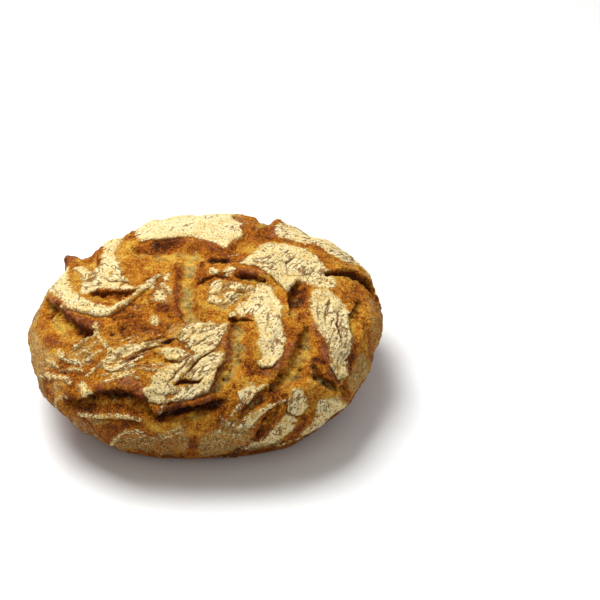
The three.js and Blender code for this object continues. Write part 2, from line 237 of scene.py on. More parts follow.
# Floured plates of skin: (cover, grain, crease, outline). cover is how solid the flour is,
# grain the direction of its wrinkles in degrees from u, and crease how deep they are.
PLATES = {
    "back": (1.0, 80, 0.25, ((-53, 56), (-45, 57), (-40, 53), (-30, 52), (-25, 50), (-10, 50), (-7, 46),
        (-3, 41), (2, 36), (7, 31), (11, 28), (14, 32), (16, 43), (21, 55), (24, 62), (18, 76), (26, 86),
        (20, 100), (24, 112), (12, 122), (0, 115), (-12, 126), (-28, 117), (-42, 124), (-50, 110),
        (-63, 105), (-54, 92), (-60, 78))),
    "left flap": (1.0, -50, 0.6, ((-128, 34), (-113, 4), (-105, -6), (-98, -17), (-88, -28), (-76, -35),
        (-66, -41.5), (-59, -43.5), (-53, -38.5), (-48, -29.5), (-42, -20.5), (-38, -12), (-35, -6),
        (-31, -1), (-36, -3), (-41, -10), (-46, -19), (-53, -29), (-59, -36), (-66, -34), (-72, -28),
        (-78, -22), (-84, -17), (-92, -6), (-98, 8), (-103, 26), (-108, 44))),
    "upper flap": (0.95, -40, 0.8, ((-88, 6), (-78, 8), (-70, 3), (-62, 3), (-54, -1), (-53, -9),
        (-47, -14), (-43, -17), (-52, -18), (-61, -13.5), (-70, -11.5), (-78, -15), (-85, -12),
        (-88, -2))),
    "upper streak": (0.95, -60, 0.8, ((-98, 30), (-92, 24), (-86, 16), (-79, 8), (-74, 3), (-77, -5),
        (-85, 0), (-89, 8), (-93, 18), (-99, 27))),
    "flap flakes": (0.8, -70, 1.0, ((-79, 22), (-70, 24), (-62, 14), (-58, 4), (-64, 0), (-74, 2),
        (-81, 8))),
    "flap floor": (0.74, -20, 0.6, ((-72, -29), (-62, -30), (-54, -29), (-57, -36), (-66, -36))),
    "back streak": (0.95, -70, 0.6, ((-83, 86), (-67, 84), (-69, 62), (-71, 42), (-67, 26), (-61, 15),
        (-66, 4), (-75, 8), (-77, 26), (-81, 44))),
    "left edge": (0.69, -65, 0.8, ((-142, 44), (-144, 4), (-136, -24), (-125, -26), (-120, -10),
        (-118, 12), (-112, 34), (-108, 54), (-118, 74), (-134, 70))),
    "left rim": (0.66, -80, 1.0, ((-142, -18), (-125, -22), (-119, -36), (-110, -46), (-104, -56),
        (-98, -63), (-105, -72), (-112, -78), (-118, -94), (-130, -88), (-146, -50))),
    "centre right": (1.0, 42, 1.0, ((17, -54), (16, -62), (14, -71), (12, -79), (2, -89), (-4, -95),
        (-10, -101), (-18, -108), (-24, -109), (-30, -103), (-22, -98), (-14, -92), (-8, -87), (-2, -85),
        (-6, -82), (-10, -80), (-11, -73), (-6, -68), (0, -61), (8, -58), (14, -55))),
    "centre front": (1.0, 35, 1.0, ((14, -84), (16, -88), (12, -95), (9, -100), (7, -108), (8, -114),
        (5, -116), (0, -117), (-8, -119), (-17, -119.5), (-18, -117), (-16, -112), (-8, -111),
        (-2, -109.5), (-5, -107), (-10, -106), (-12, -104), (-8, -100), (-2, -93.5), (4, -87.5),
        (9, -84))),
    "centre left": (1.0, 50, 0.7, ((-30, -118), (-24, -118), (-20, -116), (-14, -112), (-16, -108),
        (-20, -106), (-26, -104), (-32, -106), (-35, -108.5), (-33, -114))),
    "centre curl": (1.0, 10, 0.8, ((-28, -79), (-22, -78), (-16, -80), (-10, -82), (-6, -85), (-8, -88),
        (-12, -88), (-14, -90.5), (-19, -89), (-22, -86), (-25, -82))),
    "centre joint": (0.85, 40, 1.2, ((-32, -102), (-24, -96), (-17, -92), (-12, -88), (-10, -92),
        (-16, -99), (-22, -105), (-30, -107))),
    "upper wing": (0.85, 12, 1.3, ((-46, -71), (-38, -72), (-30, -71), (-22, -70), (-26, -74), (-32, -77),
        (-40, -79), (-48, -80), (-56, -82), (-60, -81), (-58, -76), (-52, -73))),
    "lower wing": (0.9, 15, 1.3, ((-60, -83), (-50, -83), (-40, -81), (-32, -78), (-36, -83),
        (-40, -89.5), (-52, -89.5), (-58, -87))),
    "upper centre": (0.71, 60, 1.3, ((-15, -70), (-14, -62), (-8, -57), (0, -54.5), (8, -54), (12, -57),
        (0, -61), (-6, -68), (-11, -73), (-16, -76))),
    "boot": (1.0, 65, 0.7, ((40, -11), (46, -13), (48, -22), (51, -30), (52, -40), (50, -52), (52, -62),
        (53, -68), (51, -78), (50, -85), (46, -91), (43, -90), (39, -91), (40, -84), (37, -78), (35, -74),
        (38, -68), (35, -60), (34, -52), (31, -46), (26, -47), (20, -48), (16, -48), (20, -42), (24, -36),
        (28, -30), (32, -20), (36, -13))),
    "fan flake a": (0.84, 60, 1.2, ((3, -13), (8, -10), (12, -14), (10, -20), (6, -26), (2, -27),
        (3, -21))),
    "fan flake b": (0.84, 60, 1.2, ((3, -30), (7, -28), (12, -31), (12, -36), (8, -38), (3, -36))),
    "fan flake c": (0.84, 5, 1.2, ((13, -14), (20, -13), (26, -15), (34, -14), (34, -19), (26, -20),
        (18, -21), (13, -18))),
    "fan flake d": (0.78, 60, 1.2, ((13, -24), (18, -21), (24, -25), (20, -30), (15, -35), (13, -31))),
    "fan dust": (0.6, 55, 1.0, ((1, -12), (8, -9.5), (24, -12), (34, -13), (33, -20), (27, -28),
        (20, -40), (14, -46), (6, -42), (1, -27))),
    "block flakes": (0.58, 70, 1.0, ((-33, -12), (-25, -8), (-20, -14), (-19, -30), (-24, -38),
        (-32, -34))),
    "crown chip d": (0.8, 10, 0.5, ((1, 2), (7, 2), (8, -3), (2, -4))),
    "crown chip e": (0.8, 80, 0.5, ((13, 5), (18, 2), (19, -7), (15, -9))),
    "right shoulder": (0.85, 60, 0.8, ((22, 10), (26, 18), (33, 28), (38, 45), (44, 52), (58, 46),
        (72, 32), (84, 16), (92, 4), (88, -8), (76, -6), (67, 0), (61, -9), (58, -18), (53, -10),
        (48, -2), (40, 2), (34, 10), (28, 9))),
    "right strip": (0.92, 72, 1.0, ((73, -12), (73, -45), (76, -55), (82, -60), (85, -65), (86, -78),
        (92, -84), (98, -87), (104, -80), (104, -72), (102, -60), (104, -52), (108, -42), (102, -30),
        (96, -16), (86, -8), (78, -8))),
    "right rim": (0.7, 70, 0.6, ((112, -58), (122, -52), (136, -56), (138, -76), (122, -88), (110, -90),
        (104, -84), (110, -72))),
    "small plate": (0.9, 70, 0.9, ((61, -103), (66, -102), (70, -105), (74, -108), (73, -115), (71, -118),
        (60, -118), (61, -110))),
    "strip a": (0.95, 60, 0.8, ((36, -103.5), (32, -106), (28, -113), (27, -119.5), (32, -120),
        (35, -114), (38, -107))),
    "strip b": (0.95, 58, 0.5, ((44, -103), (40, -106), (36, -114), (33.5, -120), (37, -120), (42, -110),
        (45, -105))),
    "strip c": (0.9, 40, 0.9, ((56, -114), (50, -118), (44, -123), (37, -128), (31, -133), (28, -138),
        (40, -138), (42, -131), (46, -125), (52, -119))),
    "front flakes": (0.66, 45, 0.9, ((12, -136), (22, -131), (30, -131), (40, -137), (42, -146),
        (30, -146), (16, -146))),
    "front right rim": (0.74, -75, 0.6, ((82, -108), (86, -103), (94, -99), (112, -98), (122, -104),
        (120, -124), (104, -138), (92, -138), (84, -130), (86, -118))),
    "front right streaks": (0.71, -65, 0.8, ((59, -121), (70, -121), (75, -132), (72, -146), (66, -158),
        (54, -168), (43, -172), (47, -160), (54, -148), (57, -134))),
    "front right dust": (0.66, -65, 0.5, ((56, -140), (74, -140), (84, -156), (72, -178), (50, -180),
        (48, -164))),
    "front dust": (0.68, -80, 0.6, ((6, -142), (18, -138), (40, -140), (44, -152), (40, -174), (20, -182),
        (-4, -182), (-6, -166), (0, -150))),
    "front left dust": (0.58, 60, 0.6, ((-44, -142), (-32, -146), (-20, -139), (-8, -137), (-8, -160),
        (-20, -178), (-50, -176), (-52, -158))),
    "low left dust": (0.62, 40, 0.6, ((-88, -146), (-68, -140), (-54, -138), (-44, -146), (-44, -166),
        (-70, -170), (-94, -156))),
    "left side dust": (0.55, 70, 0.6, ((-104, -108), (-88, -116), (-82, -128), (-86, -142), (-102, -142),
        (-118, -122))),
    "grey patch": (0.69, 0, 0.5, ((-88, -116), (-70, -118.5), (-58, -122), (-62, -126), (-80, -125))),
    "white blob": (1.0, -60, 0.3, ((-80, -91), (-75, -91), (-72, -96), (-69, -102), (-73, -103),
        (-78, -98))),
    "left fragments": (0.62, -30, 1.0, ((-84, -64), (-70, -62), (-63, -70), (-66, -80), (-78, -80),
        (-86, -74))),
    "far left fragments": (0.56, -30, 1.0, ((-114, -62), (-100, -60), (-88, -66), (-90, -74), (-104, -78),
        (-114, -74))),
    "lower left fragments": (0.5, -30, 0.8, ((-110, -84), (-96, -82), (-86, -88), (-88, -98),
        (-104, -98))),
    "block chip a": (0.76, 80, 1.0, ((-32, -22), (-29, -18), (-25, -21), (-24, -27), (-28, -33),
        (-32, -31))),
    "block chip d": (0.76, 60, 1.0, ((-30, -10), (-26, -12), (-22, -17), (-22, -24), (-25, -17),
        (-29, -14))),
    "block chip e": (0.74, 80, 1.0, ((-34, -46), (-29, -45), (-27, -54), (-32, -56))),
    "block chip b": (0.8, 50, 0.5, ((-30, 1), (-25, 0), (-24, -6), (-28, -9))),
    "block chip c": (0.8, 80, 0.5, ((-37, -10), (-34, -9), (-34, -18), (-37, -17))),
    "blister chips": (0.33, 60, 0.8, ((-32, -46), (-22, -46), (-20, -60), (-28, -66), (-34, -58))),
    "above the centre": (0.6, 30, 0.8, ((-18, -55), (-4, -52), (6, -57), (-2, -64), (-12, -72),
        (-22, -70), (-24, -62))),
    "back right": (0.82, 30, 0.9, ((46, 60), (56, 62), (64, 51), (77, 48), (84, 38), (98, 35), (108, 46),
        (118, 41), (127, 58), (115, 71), (119, 88), (102, 92), (98, 107), (84, 107), (76, 123), (62, 129),
        (56, 113), (45, 108), (53, 92), (46, 80))),
    "back left": (0.82, -50, 0.9, ((-120, 69), (-107, 77), (-95, 71), (-82, 85), (-71, 94), (-77, 108),
        (-66, 119), (-79, 131), (-73, 146), (-92, 141), (-103, 129), (-118, 130), (-119, 113),
        (-136, 103), (-129, 84))),
    "back left dust": (0.5, -50, 0.6, ((-150, 66), (-122, 56), (-88, 60), (-64, 84), (-56, 120),
        (-64, 158), (-104, 156), (-146, 118))),
    "back dust": (0.5, 80, 0.6, ((-50, 142), (-20, 144), (10, 150), (40, 158), (44, 172), (0, 182),
        (-44, 174))),
    "right dust": (0.5, 10, 0.6, ((114, 10), (132, 8), (148, 0), (154, -30), (142, -46), (124, -40),
        (114, -20))),
    "back right dust": (0.5, 40, 0.6, ((126, 100), (142, 78), (160, 56), (166, 90), (142, 124))),
}

# Patches where a plate's flour is worn off: (u, v, radius along u, radius along v).
WORN = ((22, 96, 8, 14), (24, 116, 5, 8), (-56, -8, 2.2, 2.6), (-82, 4, 1.2, 3.0))

# Ridges of skin pushed up beside the tears: (width, height, burnt, path).
RIDGES = (
    (4.0, 2.2, 1.0, ((-112, -3), (-103, -14), (-97, -24), (-88, -35), (-80, -41), (-72, -47),
        (-64, -54))),
    (3.5, 1.4, 0.8, ((-104, -49), (-92, -58), (-75, -63))),
    (3.5, 1.8, 1.0, ((-74, -100), (-58, -97.5), (-48, -98.5), (-40, -104), (-36, -111))),
    (4.5, 1.6, 0.8, ((-26, 47), (-12, 41), (0, 35.5), (9, 28))),
    (2.4, 1.2, 0.45, ((-24, -122), (0, -121.5), (9, -118))),
    (4.2, 1.2, 0.9, ((18, -60), (17, -74), (18, -87), (14, -98), (9, -111))),
    (4.0, 2.0, 0.3, ((54, -10), (56, -28), (57, -44), (61, -55), (59, -65))),
    (4.0, 2.0, 0.9, ((59, -65), (55, -76), (51, -87), (43, -95))),
    (4.5, 1.4, 0.9, ((73, -52), (80, -66), (84, -78), (94, -88))),
    (4.5, 2.4, 0.3, ((58, -101), (80, -99.5), (100, -98.5), (116, -98))),
    (2.6, 1.4, 0.7, ((-22, 14), (-20, 4), (-18.5, -8), (-17, -26), (-16.5, -46))),
    (2.6, 1.0, 0.0, ((-96, -22), (-84, -30), (-72, -35), (-62, -40.5), (-55, -40.5), (-48, -32),
        (-42, -23), (-37, -14), (-33, -4))),
    (4.0, 1.6, 0.9, ((18, -1), (27, -4), (36, -4.5), (44, -2))),
    (5.0, 1.2, 0.2, ((-60, 54), (-60, 38), (-58, 20))),
    (5.0, 1.0, 0.3, ((29, -58), (32, -74), (33, -92), (28, -102))),
    (4.0, 1.2, 0.6, ((38, -113), (44, -132), (41, -156))),
    (4.0, 1.4, 0.6, ((57, -122), (57, -136), (54, -150))),
    (3.0, 1.4, 0.2, ((-5, -2), (-5, -14), (-4, -30), (-2, -42))),
    (4.0, 1.6, 0.9, ((44, 62), (48, 86), (50, 112), (46, 132))),
    (4.0, 1.6, 0.8, ((-50, 84), (-46, 106), (-47, 130))),
)

# Folds of thin skin that catch the flour: (width, height, path).
FOLDS = (
    (1.5, 1.3, ((-66, -52), (-62, -64), (-57, -72), (-52, -78))),
    (2.0, 1.4, ((-92, -64), (-86, -72), (-79, -76))),
    (1.1, 1.1, ((-80, -66), (-73, -63), (-66, -60))),
    (1.2, 1.1, ((-79, -72), (-71, -70), (-64, -64))),
    (1.1, 1.0, ((-77, -78), (-69, -76), (-62, -72))),
    (1.3, 1.1, ((-104, -65), (-98, -70), (-92, -75))),
    (1.1, 1.0, ((-90, -79), (-82, -80), (-76, -83))),
    (0.8, 0.8, ((-61, -90), (-51, -92.5), (-42, -92))),
    (0.8, 0.8, ((-58, -93.5), (-48, -94.5), (-41, -95.5))),
    (1.1, 1.1, ((-95, -25), (-85, -31), (-75, -36), (-65.5, -41), (-58.5, -43.2), (-52.5, -38),
        (-47.5, -29), (-42, -20.5), (-37.5, -12), (-32, -3))),
    (0.7, 0.8, ((-70, -142), (-58, -146), (-46, -144))),
    (0.7, 0.8, ((-64, -152), (-50, -156), (-40, -152))),
    (1.0, 0.9, ((-32, -146), (-21, -141), (-11, -138))),
    (0.9, 0.8, ((-36, -152), (-24, -147), (-14, -143))),
    (0.6, 0.7, ((16, -133), (24, -137), (36, -139))),
    (0.6, 0.7, ((14, -141), (24, -144), (36, -145))),
    (2.0, 1.4, ((-112, -74), (-98, -81), (-90, -84), (-85, -89))),
    (1.3, 1.5, ((-88, -112.5), (-70, -118), (-55, -122), (-42, -128))),
    (1.8, 1.5, ((-80, -144), (-66, -138), (-55, -134), (-44, -138))),
    (1.1, 1.2, ((-20, -118), (-24, -122), (-29, -128))),
    (1.0, 1.2, ((32, -118), (27, -124), (23, -131))),
    (1.0, 1.4, ((57, -113), (49, -118), (41, -124.5), (32, -132))),
    (1.2, 1.0, ((-60, -96.5), (-48, -96), (-39, -100))),
    (1.0, 1.0, ((-38, -92), (-31, -94.5), (-23, -97))),
    (1.0, 0.8, ((-36, -90), (-30, -91), (-24, -92))),
    (1.3, 1.2, ((-73, -88), (-66, -83.5), (-60, -81))),
    (1.0, 1.0, ((-60, -136), (-46, -141), (-36, -148))),
    (1.4, 1.0, ((-112, -100), (-100, -96), (-90, -97))),
    (1.0, 0.8, ((-24, -74), (-17, -70), (-13, -66))),
    (1.0, 1.0, ((-17, -82), (-14, -88), (-17, -90))),
    (1.3, 1.0, ((5, -82), (-3, -90), (-10, -98), (-15, -105))),
    (1.4, 1.0, ((100, -140), (86, -146), (76, -158))),
    (1.2, 1.1, ((-108, 142), (-94, 152), (-76, 155), (-62, 150))),
    (1.0, 1.0, ((54, 138), (70, 140), (84, 128), (102, 122))),
    (1.2, 1.1, ((130, 48), (141, 34), (138, 18))),
    (1.1, 1.0, ((-146, 78), (-150, 56), (-141, 40))),
    (0.9, 0.9, ((-36, 134), (-24, 142), (-8, 141))),
    (0.8, 0.9, ((3, -26), (7, -18), (10, -12))),
    (0.7, 0.8, ((13, -38), (17, -31), (20, -25))),
    (0.7, 0.8, ((17, -37), (22, -30), (27, -26))),
    (0.7, 0.8, ((21, -39), (27, -32), (31, -25))),
    (0.8, 1.0, ((14, -18.5), (22, -20.5), (30, -15.5))),
    (0.7, 0.8, ((20, -25), (27, -24.5), (32, -21.5))),
)

# Cracks in the plates: how dark the painted shade in them is, and a path of (u, v, half width).
CRACKS = (
    (1.2, ((-17, -109.5, 0.6), (-12, -107.5, 2.0), (-6, -108.5, 1.7), (0, -108.5, 1.2), (3, -105, 0.3))),
    (1.0, ((1, -84, 0.3), (-7, -90, 0.6), (-13, -98, 0.8), (-18, -104, 0.6), (-22, -110, 0.3))),
    (1.2, ((12, -79, 0.4), (6, -85, 0.8), (0, -91, 1.1), (-6, -98, 0.9), (-11, -104, 0.4))),
    (0.9, ((-2, -85, 0.3), (-8, -88, 0.9), (-12, -91, 1.0), (-17, -92, 0.4))),
    (0.8, ((6, -93, 0.3), (0, -98, 0.6), (-5, -102, 0.6), (-10, -105, 0.4))),
    (0.7, ((-28, -113, 0.3), (-22, -115, 0.6), (-16, -115, 0.6), (-13, -113, 0.3))),
    (0.8, ((-22, -107, 0.3), (-18, -111, 0.6), (-21, -114, 0.3))),
    (1.0, ((-41, -70.5, 0.3), (-34, -70.5, 0.9), (-27, -69, 1.0), (-19, -66.5, 0.3))),
    (1.0, ((-41, -79.5, 0.3), (-36, -78, 1.0), (-30, -76.5, 1.0), (-24, -76.5, 0.4))),
    (1.0, ((-51, -87.5, 0.3), (-46, -84, 0.9), (-41, -81.5, 1.0), (-35, -80.5, 0.4))),
    (1.2, ((-26, -74.5, 0.8), (-22, -73, 2.4), (-18.5, -71.5, 1.2))),
    (0.8, ((-50, -72, 0.3), (-45, -73.5, 0.7), (-38, -73, 0.3))),
    (0.9, ((10, -66, 0.3), (4, -71, 0.6), (0, -75, 0.8), (-4, -79, 0.7), (-8, -82, 0.3))),
    (0.9, ((-18, -69, 0.3), (-14, -74, 0.8), (-9, -77, 0.9), (-6, -84, 0.3))),
    (0.7, ((14, -92, 0.3), (9, -97, 0.5), (5, -103, 0.3))),
    (0.8, ((45, -38, 0.3), (42, -50, 0.8), (41, -62, 0.3))),
    (0.7, ((48, -62, 0.3), (46, -72, 0.7), (47, -82, 0.3))),
    (0.9, ((87, -16, 0.3), (84, -34, 0.9), (82, -50, 0.3))),
    (1.0, ((94, -26, 0.3), (91, -44, 1.0), (95, -62, 0.3))),
    (0.8, ((79, -22, 0.3), (78, -34, 0.7), (77, -46, 0.3))),
    (0.8, ((96, -66, 0.3), (93, -74, 0.8), (92, -82, 0.3))),
    (0.8, ((60, 32, 0.3), (54, 18, 0.9), (54, 2, 0.3))),
    (0.8, ((46, 30, 0.3), (40, 20, 0.9), (30, 14, 0.3))),
    (0.8, ((74, 20, 0.3), (70, 10, 0.9), (60, 4, 0.3))),
    (0.5, ((-26, 82, 0.4), (-19, 87, 1.3), (-12, 92, 0.4))),
    (0.7, ((-44, 100, 0.3), (-34, 92, 0.8), (-22, 104, 0.3))),
    (0.7, ((6, 112, 0.3), (0, 100, 0.8), (4, 88, 0.3))),
    (0.9, ((66, 84, 0.4), (78, 88, 1.0), (94, 78, 0.4))),
    (0.8, ((60, 70, 0.3), (72, 64, 0.8), (86, 52, 0.3))),
    (0.8, ((104, 84, 0.3), (108, 66, 0.9), (102, 48, 0.3))),
    (0.8, ((-84, 92, 0.3), (-78, 106, 0.8), (-80, 122, 0.3))),
    (0.9, ((60, 108, 0.4), (72, 100, 0.9), (84, 102, 0.4))),
    (0.9, ((-96, 106, 0.4), (-88, 120, 1.0), (-90, 134, 0.4))),
    (0.9, ((-112, 96, 0.4), (-104, 104, 0.9), (-100, 120, 0.4))),
    (0.7, ((68, -106, 0.3), (67, -112, 0.6), (69, -118, 0.3))),
    (0.8, ((10, -21, 0.3), (11.5, -17, 0.9), (12, -12, 0.3))),
    (0.7, ((5, -28, 0.3), (9, -25, 0.8), (13, -21, 0.3))),
    (0.9, ((3, -38, 0.4), (6, -37.5, 1.1), (10, -39, 0.4))),
    (0.9, ((21, -22.5, 0.4), (25, -22.5, 1.1), (29, -21.5, 0.4))),
    (0.9, ((18, -31, 0.4), (21, -28.5, 1.1), (23, -27.5, 0.3))),
    (0.8, ((27, -18.5, 0.3), (30, -19, 0.9), (33, -18, 0.3))),
    (0.9, ((-74, 2, 0.3), (-66, -4, 0.8), (-57, -4, 1.2), (-50, -9, 0.3))),
    (0.8, ((-82, -4, 0.3), (-76, -8, 0.8), (-68, -9, 0.3))),
    (0.5, ((-114, 14, 0.3), (-108, 2, 0.6), (-100, -10, 0.3))),
    (0.5, ((-90, -22, 0.3), (-82, -28, 0.6), (-72, -33, 0.3))),
)
CRACK_DEPTH = 1.4  # for each millimetre of half width

# Burst blisters and holes: (u, v, radius, depth).
PITS = (
    (-55, -47, 2.2, 2.0), (-48, -47, 1.8, 1.8), (-50, -56, 2.8, 2.4), (-55, -60, 2.2, 2.0),
    (-41, -54, 1.6, 1.6), (-46, -43, 1.4, 1.4), (-38, -40, 1.4, 1.4), (-33, -33, 1.6, 1.8),
    (-113, -17, 3.0, 2.5), (-87, -101, 3.0, 2.6), (-74, -105, 2.8, 2.4), (50, -122, 2.2, 2.2),
    (50, -133, 3.0, 3.0), (48, -145, 2.6, 2.6), (77, -90, 2.8, 2.4), (87, -92, 3.2, 2.6),
    (104, -92, 3.0, 2.6), (-5, 10, 1.8, 1.6), (-10, -170, 1.8, 1.6), (52, -95, 2.2, 2.0),
    (-86, -38, 2.0, 1.8), (14, 24, 1.6, 1.5), (24, -110, 1.8, 1.6), (66, -87, 1.5, 1.6),
    (48, -107, 2.2, 2.0), (20, -95, 1.8, 1.8), (16, -103, 1.7, 1.6), (54, -95, 2.0, 1.8),
    (22, -66, 1.3, 1.4), (65, -67, 1.8, 1.6),
)

# Torn tips that stand up from the crust: (u, v, height, radius, burnt).
TIPS = (
    (-106, 46, 8.5, 6.0, 1.2), (-20, 11, 1.8, 5.0, 0.6), (13, 34, 1.5, 5.0, 0.0),
    (-56, -43, 1.2, 6.0, 0.0), (-76, 66, 4.2, 12.0, 0.0),
)

# Wide dents: (u, v, radius along u, radius along v, depth).
DENTS = (
    (-37, 43, 13, 7, 4.0), (-112, -58, 10, 12, 1.5), (8, 14, 8, 4, 2.0), (-90, -122, 14, 5, 1.5),
    (64, -16, 7, 12, 2.0),
)

SOLID_COVER = 0.7  # plates with less flour than this are only dusted
SOLID_DUST = 0.45  # how dusty the crust is beside a solid plate
SPECKLE_DEPTH = 3.2  # how far gaps in the flour cut into a plate
COVER_WEIGHT = 2.6  # how strongly a plate's cover closes those gaps
LOW_TONE_AND_SHADE = 0.16  # how much darker the crust is low on the sides: partly its own colour, partly painted shade
LOW_BAND = (48, 22)  # heights between which that comes in
EAR_REACH = 2.0  # how far the skin hangs over a tear at most
EAR_LIFT = 1.5  # how far its edge curls up
FLOOR_SWELL = 0.3  # share of a tear's depth by which the middle of its floor wells up
EDGE_CURL = 0.5  # how far a plate's edge curls up, as a share of the drop below it
EDGE_REACH = 0.45  # how far it hangs over, as a share of the drop
SKIN_STEP = 0.55  # thickness of a floured plate above the crust
BLISTER_SPACING = 4.4
CRUMB_SPACING = 4.2
WRINKLE_SPACING = 5.0  # across the grain
WRINKLE_SQUEEZE = 0.28  # lengths along the grain count this much, so wrinkles run along it
BLOCK_MIDDLE = (-40, -42)  # the blistered block left of the middle rift
BLOCK_RADIUS = 24

# Distances inside a shape start from these where no shape is near.
FAR_FROM_TEARS = -40.0
FAR_FROM_PLATES = -14.0
FAR_FROM_CUTS = -9.0

# ---------------------------------------------------------------- noise


def hashed(x, y, z, seed):
    """A number from 0 to 255 for each whole x, y and z."""
    mixed = x * 374761393 + y * 668265263 + z * 1440662683 + seed * 951274213
    mixed = (mixed ^ (mixed >> 13)) * 1274126177
    return ((mixed ^ (mixed >> 16)) >> 3) & 255


DIRECTIONS = np.random.default_rng(7).normal(size=(256, 3))
DIRECTIONS /= np.linalg.norm(DIRECTIONS, axis=1)[:, None]
SPOTS = np.random.default_rng(8).random((256, 3))


def noise(points, size, seed):
    """Smooth noise from about -1 to 1 whose bumps are size across. Each seed gives another."""
    scaled = points / size
    cell = np.floor(scaled).astype(np.int64)
    part = scaled - cell
    ease = part * part * part * (part * (part * 6 - 15) + 10)
    total = np.zeros(len(points))
    for corner in np.ndindex(2, 2, 2):
        corner = np.array(corner)
        which = hashed(*(cell + corner).T, seed)
        slope = (DIRECTIONS[which] * (part - corner)).sum(1)
        weight = np.where(corner, ease, 1 - ease).prod(1)
        total += weight * slope
    return total * 1.6


def layered(points, size, seed, layers=3, gain=0.5):
    """Noise with finer and fainter layers on top."""
    total = np.zeros(len(points))
    strength = 1.0
    for layer in range(layers):
        total += strength * noise(points, size / 2**layer, seed + layer)
        strength *= gain
    return total


def cells(points, size, seed):
    """Distances to the nearest and second nearest of scattered spots, in spots' spacings."""
    scaled = points / size
    cell = np.floor(scaled).astype(np.int64)
    nearest = np.full(len(points), 9.0)
    second = np.full(len(points), 9.0)
    for offset in np.ndindex(3, 3, 3):
        place = cell + np.array(offset) - 1
        spot = place + SPOTS[hashed(*place.T, seed)]
        away = np.linalg.norm(spot - scaled, axis=1)
        second = np.minimum(second, np.maximum(nearest, away))
        nearest = np.minimum(nearest, away)
    return nearest, second


def step(low, high, value):
    """A smooth step from 0 at low to 1 at high."""
    share = np.clip((value - low) / (high - low), 0, 1)
    return share * share * (3 - 2 * share)


def bump(distance, width):
    return np.exp(-((distance / width) ** 2))


# ---------------------------------------------------------------- the smooth form


PROFILE_STEPS = 400


def section_profile():
    """Half of the loaf's section: share of the radius, height and distance from the crown."""
    angle = np.linspace(0, np.pi / 2, PROFILE_STEPS)
    rise = np.abs(np.cos(angle)) ** (2 / CROWN_POWER)
    tuck = np.abs(np.cos(angle[1:])) ** (2 / TUCK_POWER)
    drop = np.sin(angle[1:]) ** (2 / TUCK_POWER)
    share = np.concatenate([np.sin(angle) ** (2 / CROWN_POWER), SOLE_SHARE + (1 - SOLE_SHARE) * tuck])
    height = np.concatenate([BELLY_HEIGHT + (HEIGHT - BELLY_HEIGHT) * rise, BELLY_HEIGHT * (1 - drop)])
    mean_radius = (HALF_WIDTH + HALF_DEPTH) / 2
    distance = np.concatenate([[0], np.cumsum(np.hypot(np.diff(share) * mean_radius, np.diff(height)))])
    return share, height, distance, distance[PROFILE_STEPS - 1]


SHARE, RISE, DISTANCE, CROWN_TO_BELLY = section_profile()
CROWN_TO_SOLE = DISTANCE[-1]


def outline_share(angle):
    share = np.ones_like(angle)
    for waves, size, phase in OUTLINE_WAVES:
        share += size * np.cos(waves * angle - math.radians(phase))
    return share


def smooth_points(u, v):
    """Points of the smooth form, in millimetres from the middle of the sole."""
    angle = np.arctan2(v, u)
    reach = np.interp(np.hypot(u, v), DISTANCE, SHARE) * outline_share(angle)
    height = np.interp(np.hypot(u, v), DISTANCE, RISE)
    return np.stack([reach * np.cos(angle) * HALF_WIDTH, reach * np.sin(angle) * HALF_DEPTH, height], 1)


def sole_rim(angle):
    """Points of the smooth form at the sole's rim."""
    return smooth_points(CROWN_TO_SOLE * np.cos(angle), CROWN_TO_SOLE * np.sin(angle))


def smooth_frame(u, v):
    """Points of the smooth form, and its directions along u, along v and outward."""
    small = 0.5
    along_u = (smooth_points(u + small, v) - smooth_points(u - small, v)) / (2 * small)
    along_v = (smooth_points(u, v + small) - smooth_points(u, v - small)) / (2 * small)
    outward = np.cross(along_u, along_v)
    outward /= np.linalg.norm(outward, axis=1)[:, None]
    return smooth_points(u, v), along_u, along_v, outward


# ---------------------------------------------------------------- shapes on the crust


def nearest_on_path(u, v, path):
    """For each place: its distance from the path, the half width there if the path has
    one, its signed distance to the left of the path, and the direction to the path."""
    best = np.full(len(u), np.inf)
    width = np.zeros(len(u))
    side = np.zeros(len(u))
    toward = np.zeros((len(u), 2))
    for start, end in zip(path, path[1:]):
        du, dv = end[0] - start[0], end[1] - start[1]
        length = math.hypot(du, dv)
        share = np.clip(((u - start[0]) * du + (v - start[1]) * dv) / length**2, 0, 1)
        off_u = start[0] + share * du - u
        off_v = start[1] + share * dv - v
        away = np.hypot(off_u, off_v)
        half = start[2] + share * (end[2] - start[2]) if len(start) > 2 else np.zeros(len(u))
        closer = away - half < best
        best = np.where(closer, away - half, best)
        width = np.where(closer, half, width)
        left = ((v - start[1]) * du - (u - start[0]) * dv) / length
        side = np.where(closer, left, side)
        heading = np.stack([off_u, off_v], 1) / np.maximum(away, 1e-6)[:, None]
        toward = np.where(closer[:, None], heading, toward)
    return best + width, width, side, toward


def rounded(outline):
    """The outline with its corners cut."""
    corners = np.array(outline, float)
    following = np.roll(corners, -1, 0)
    cut = np.stack([corners * 0.75 + following * 0.25, corners * 0.25 + following * 0.75], 1)
    return cut.reshape(-1, 2)


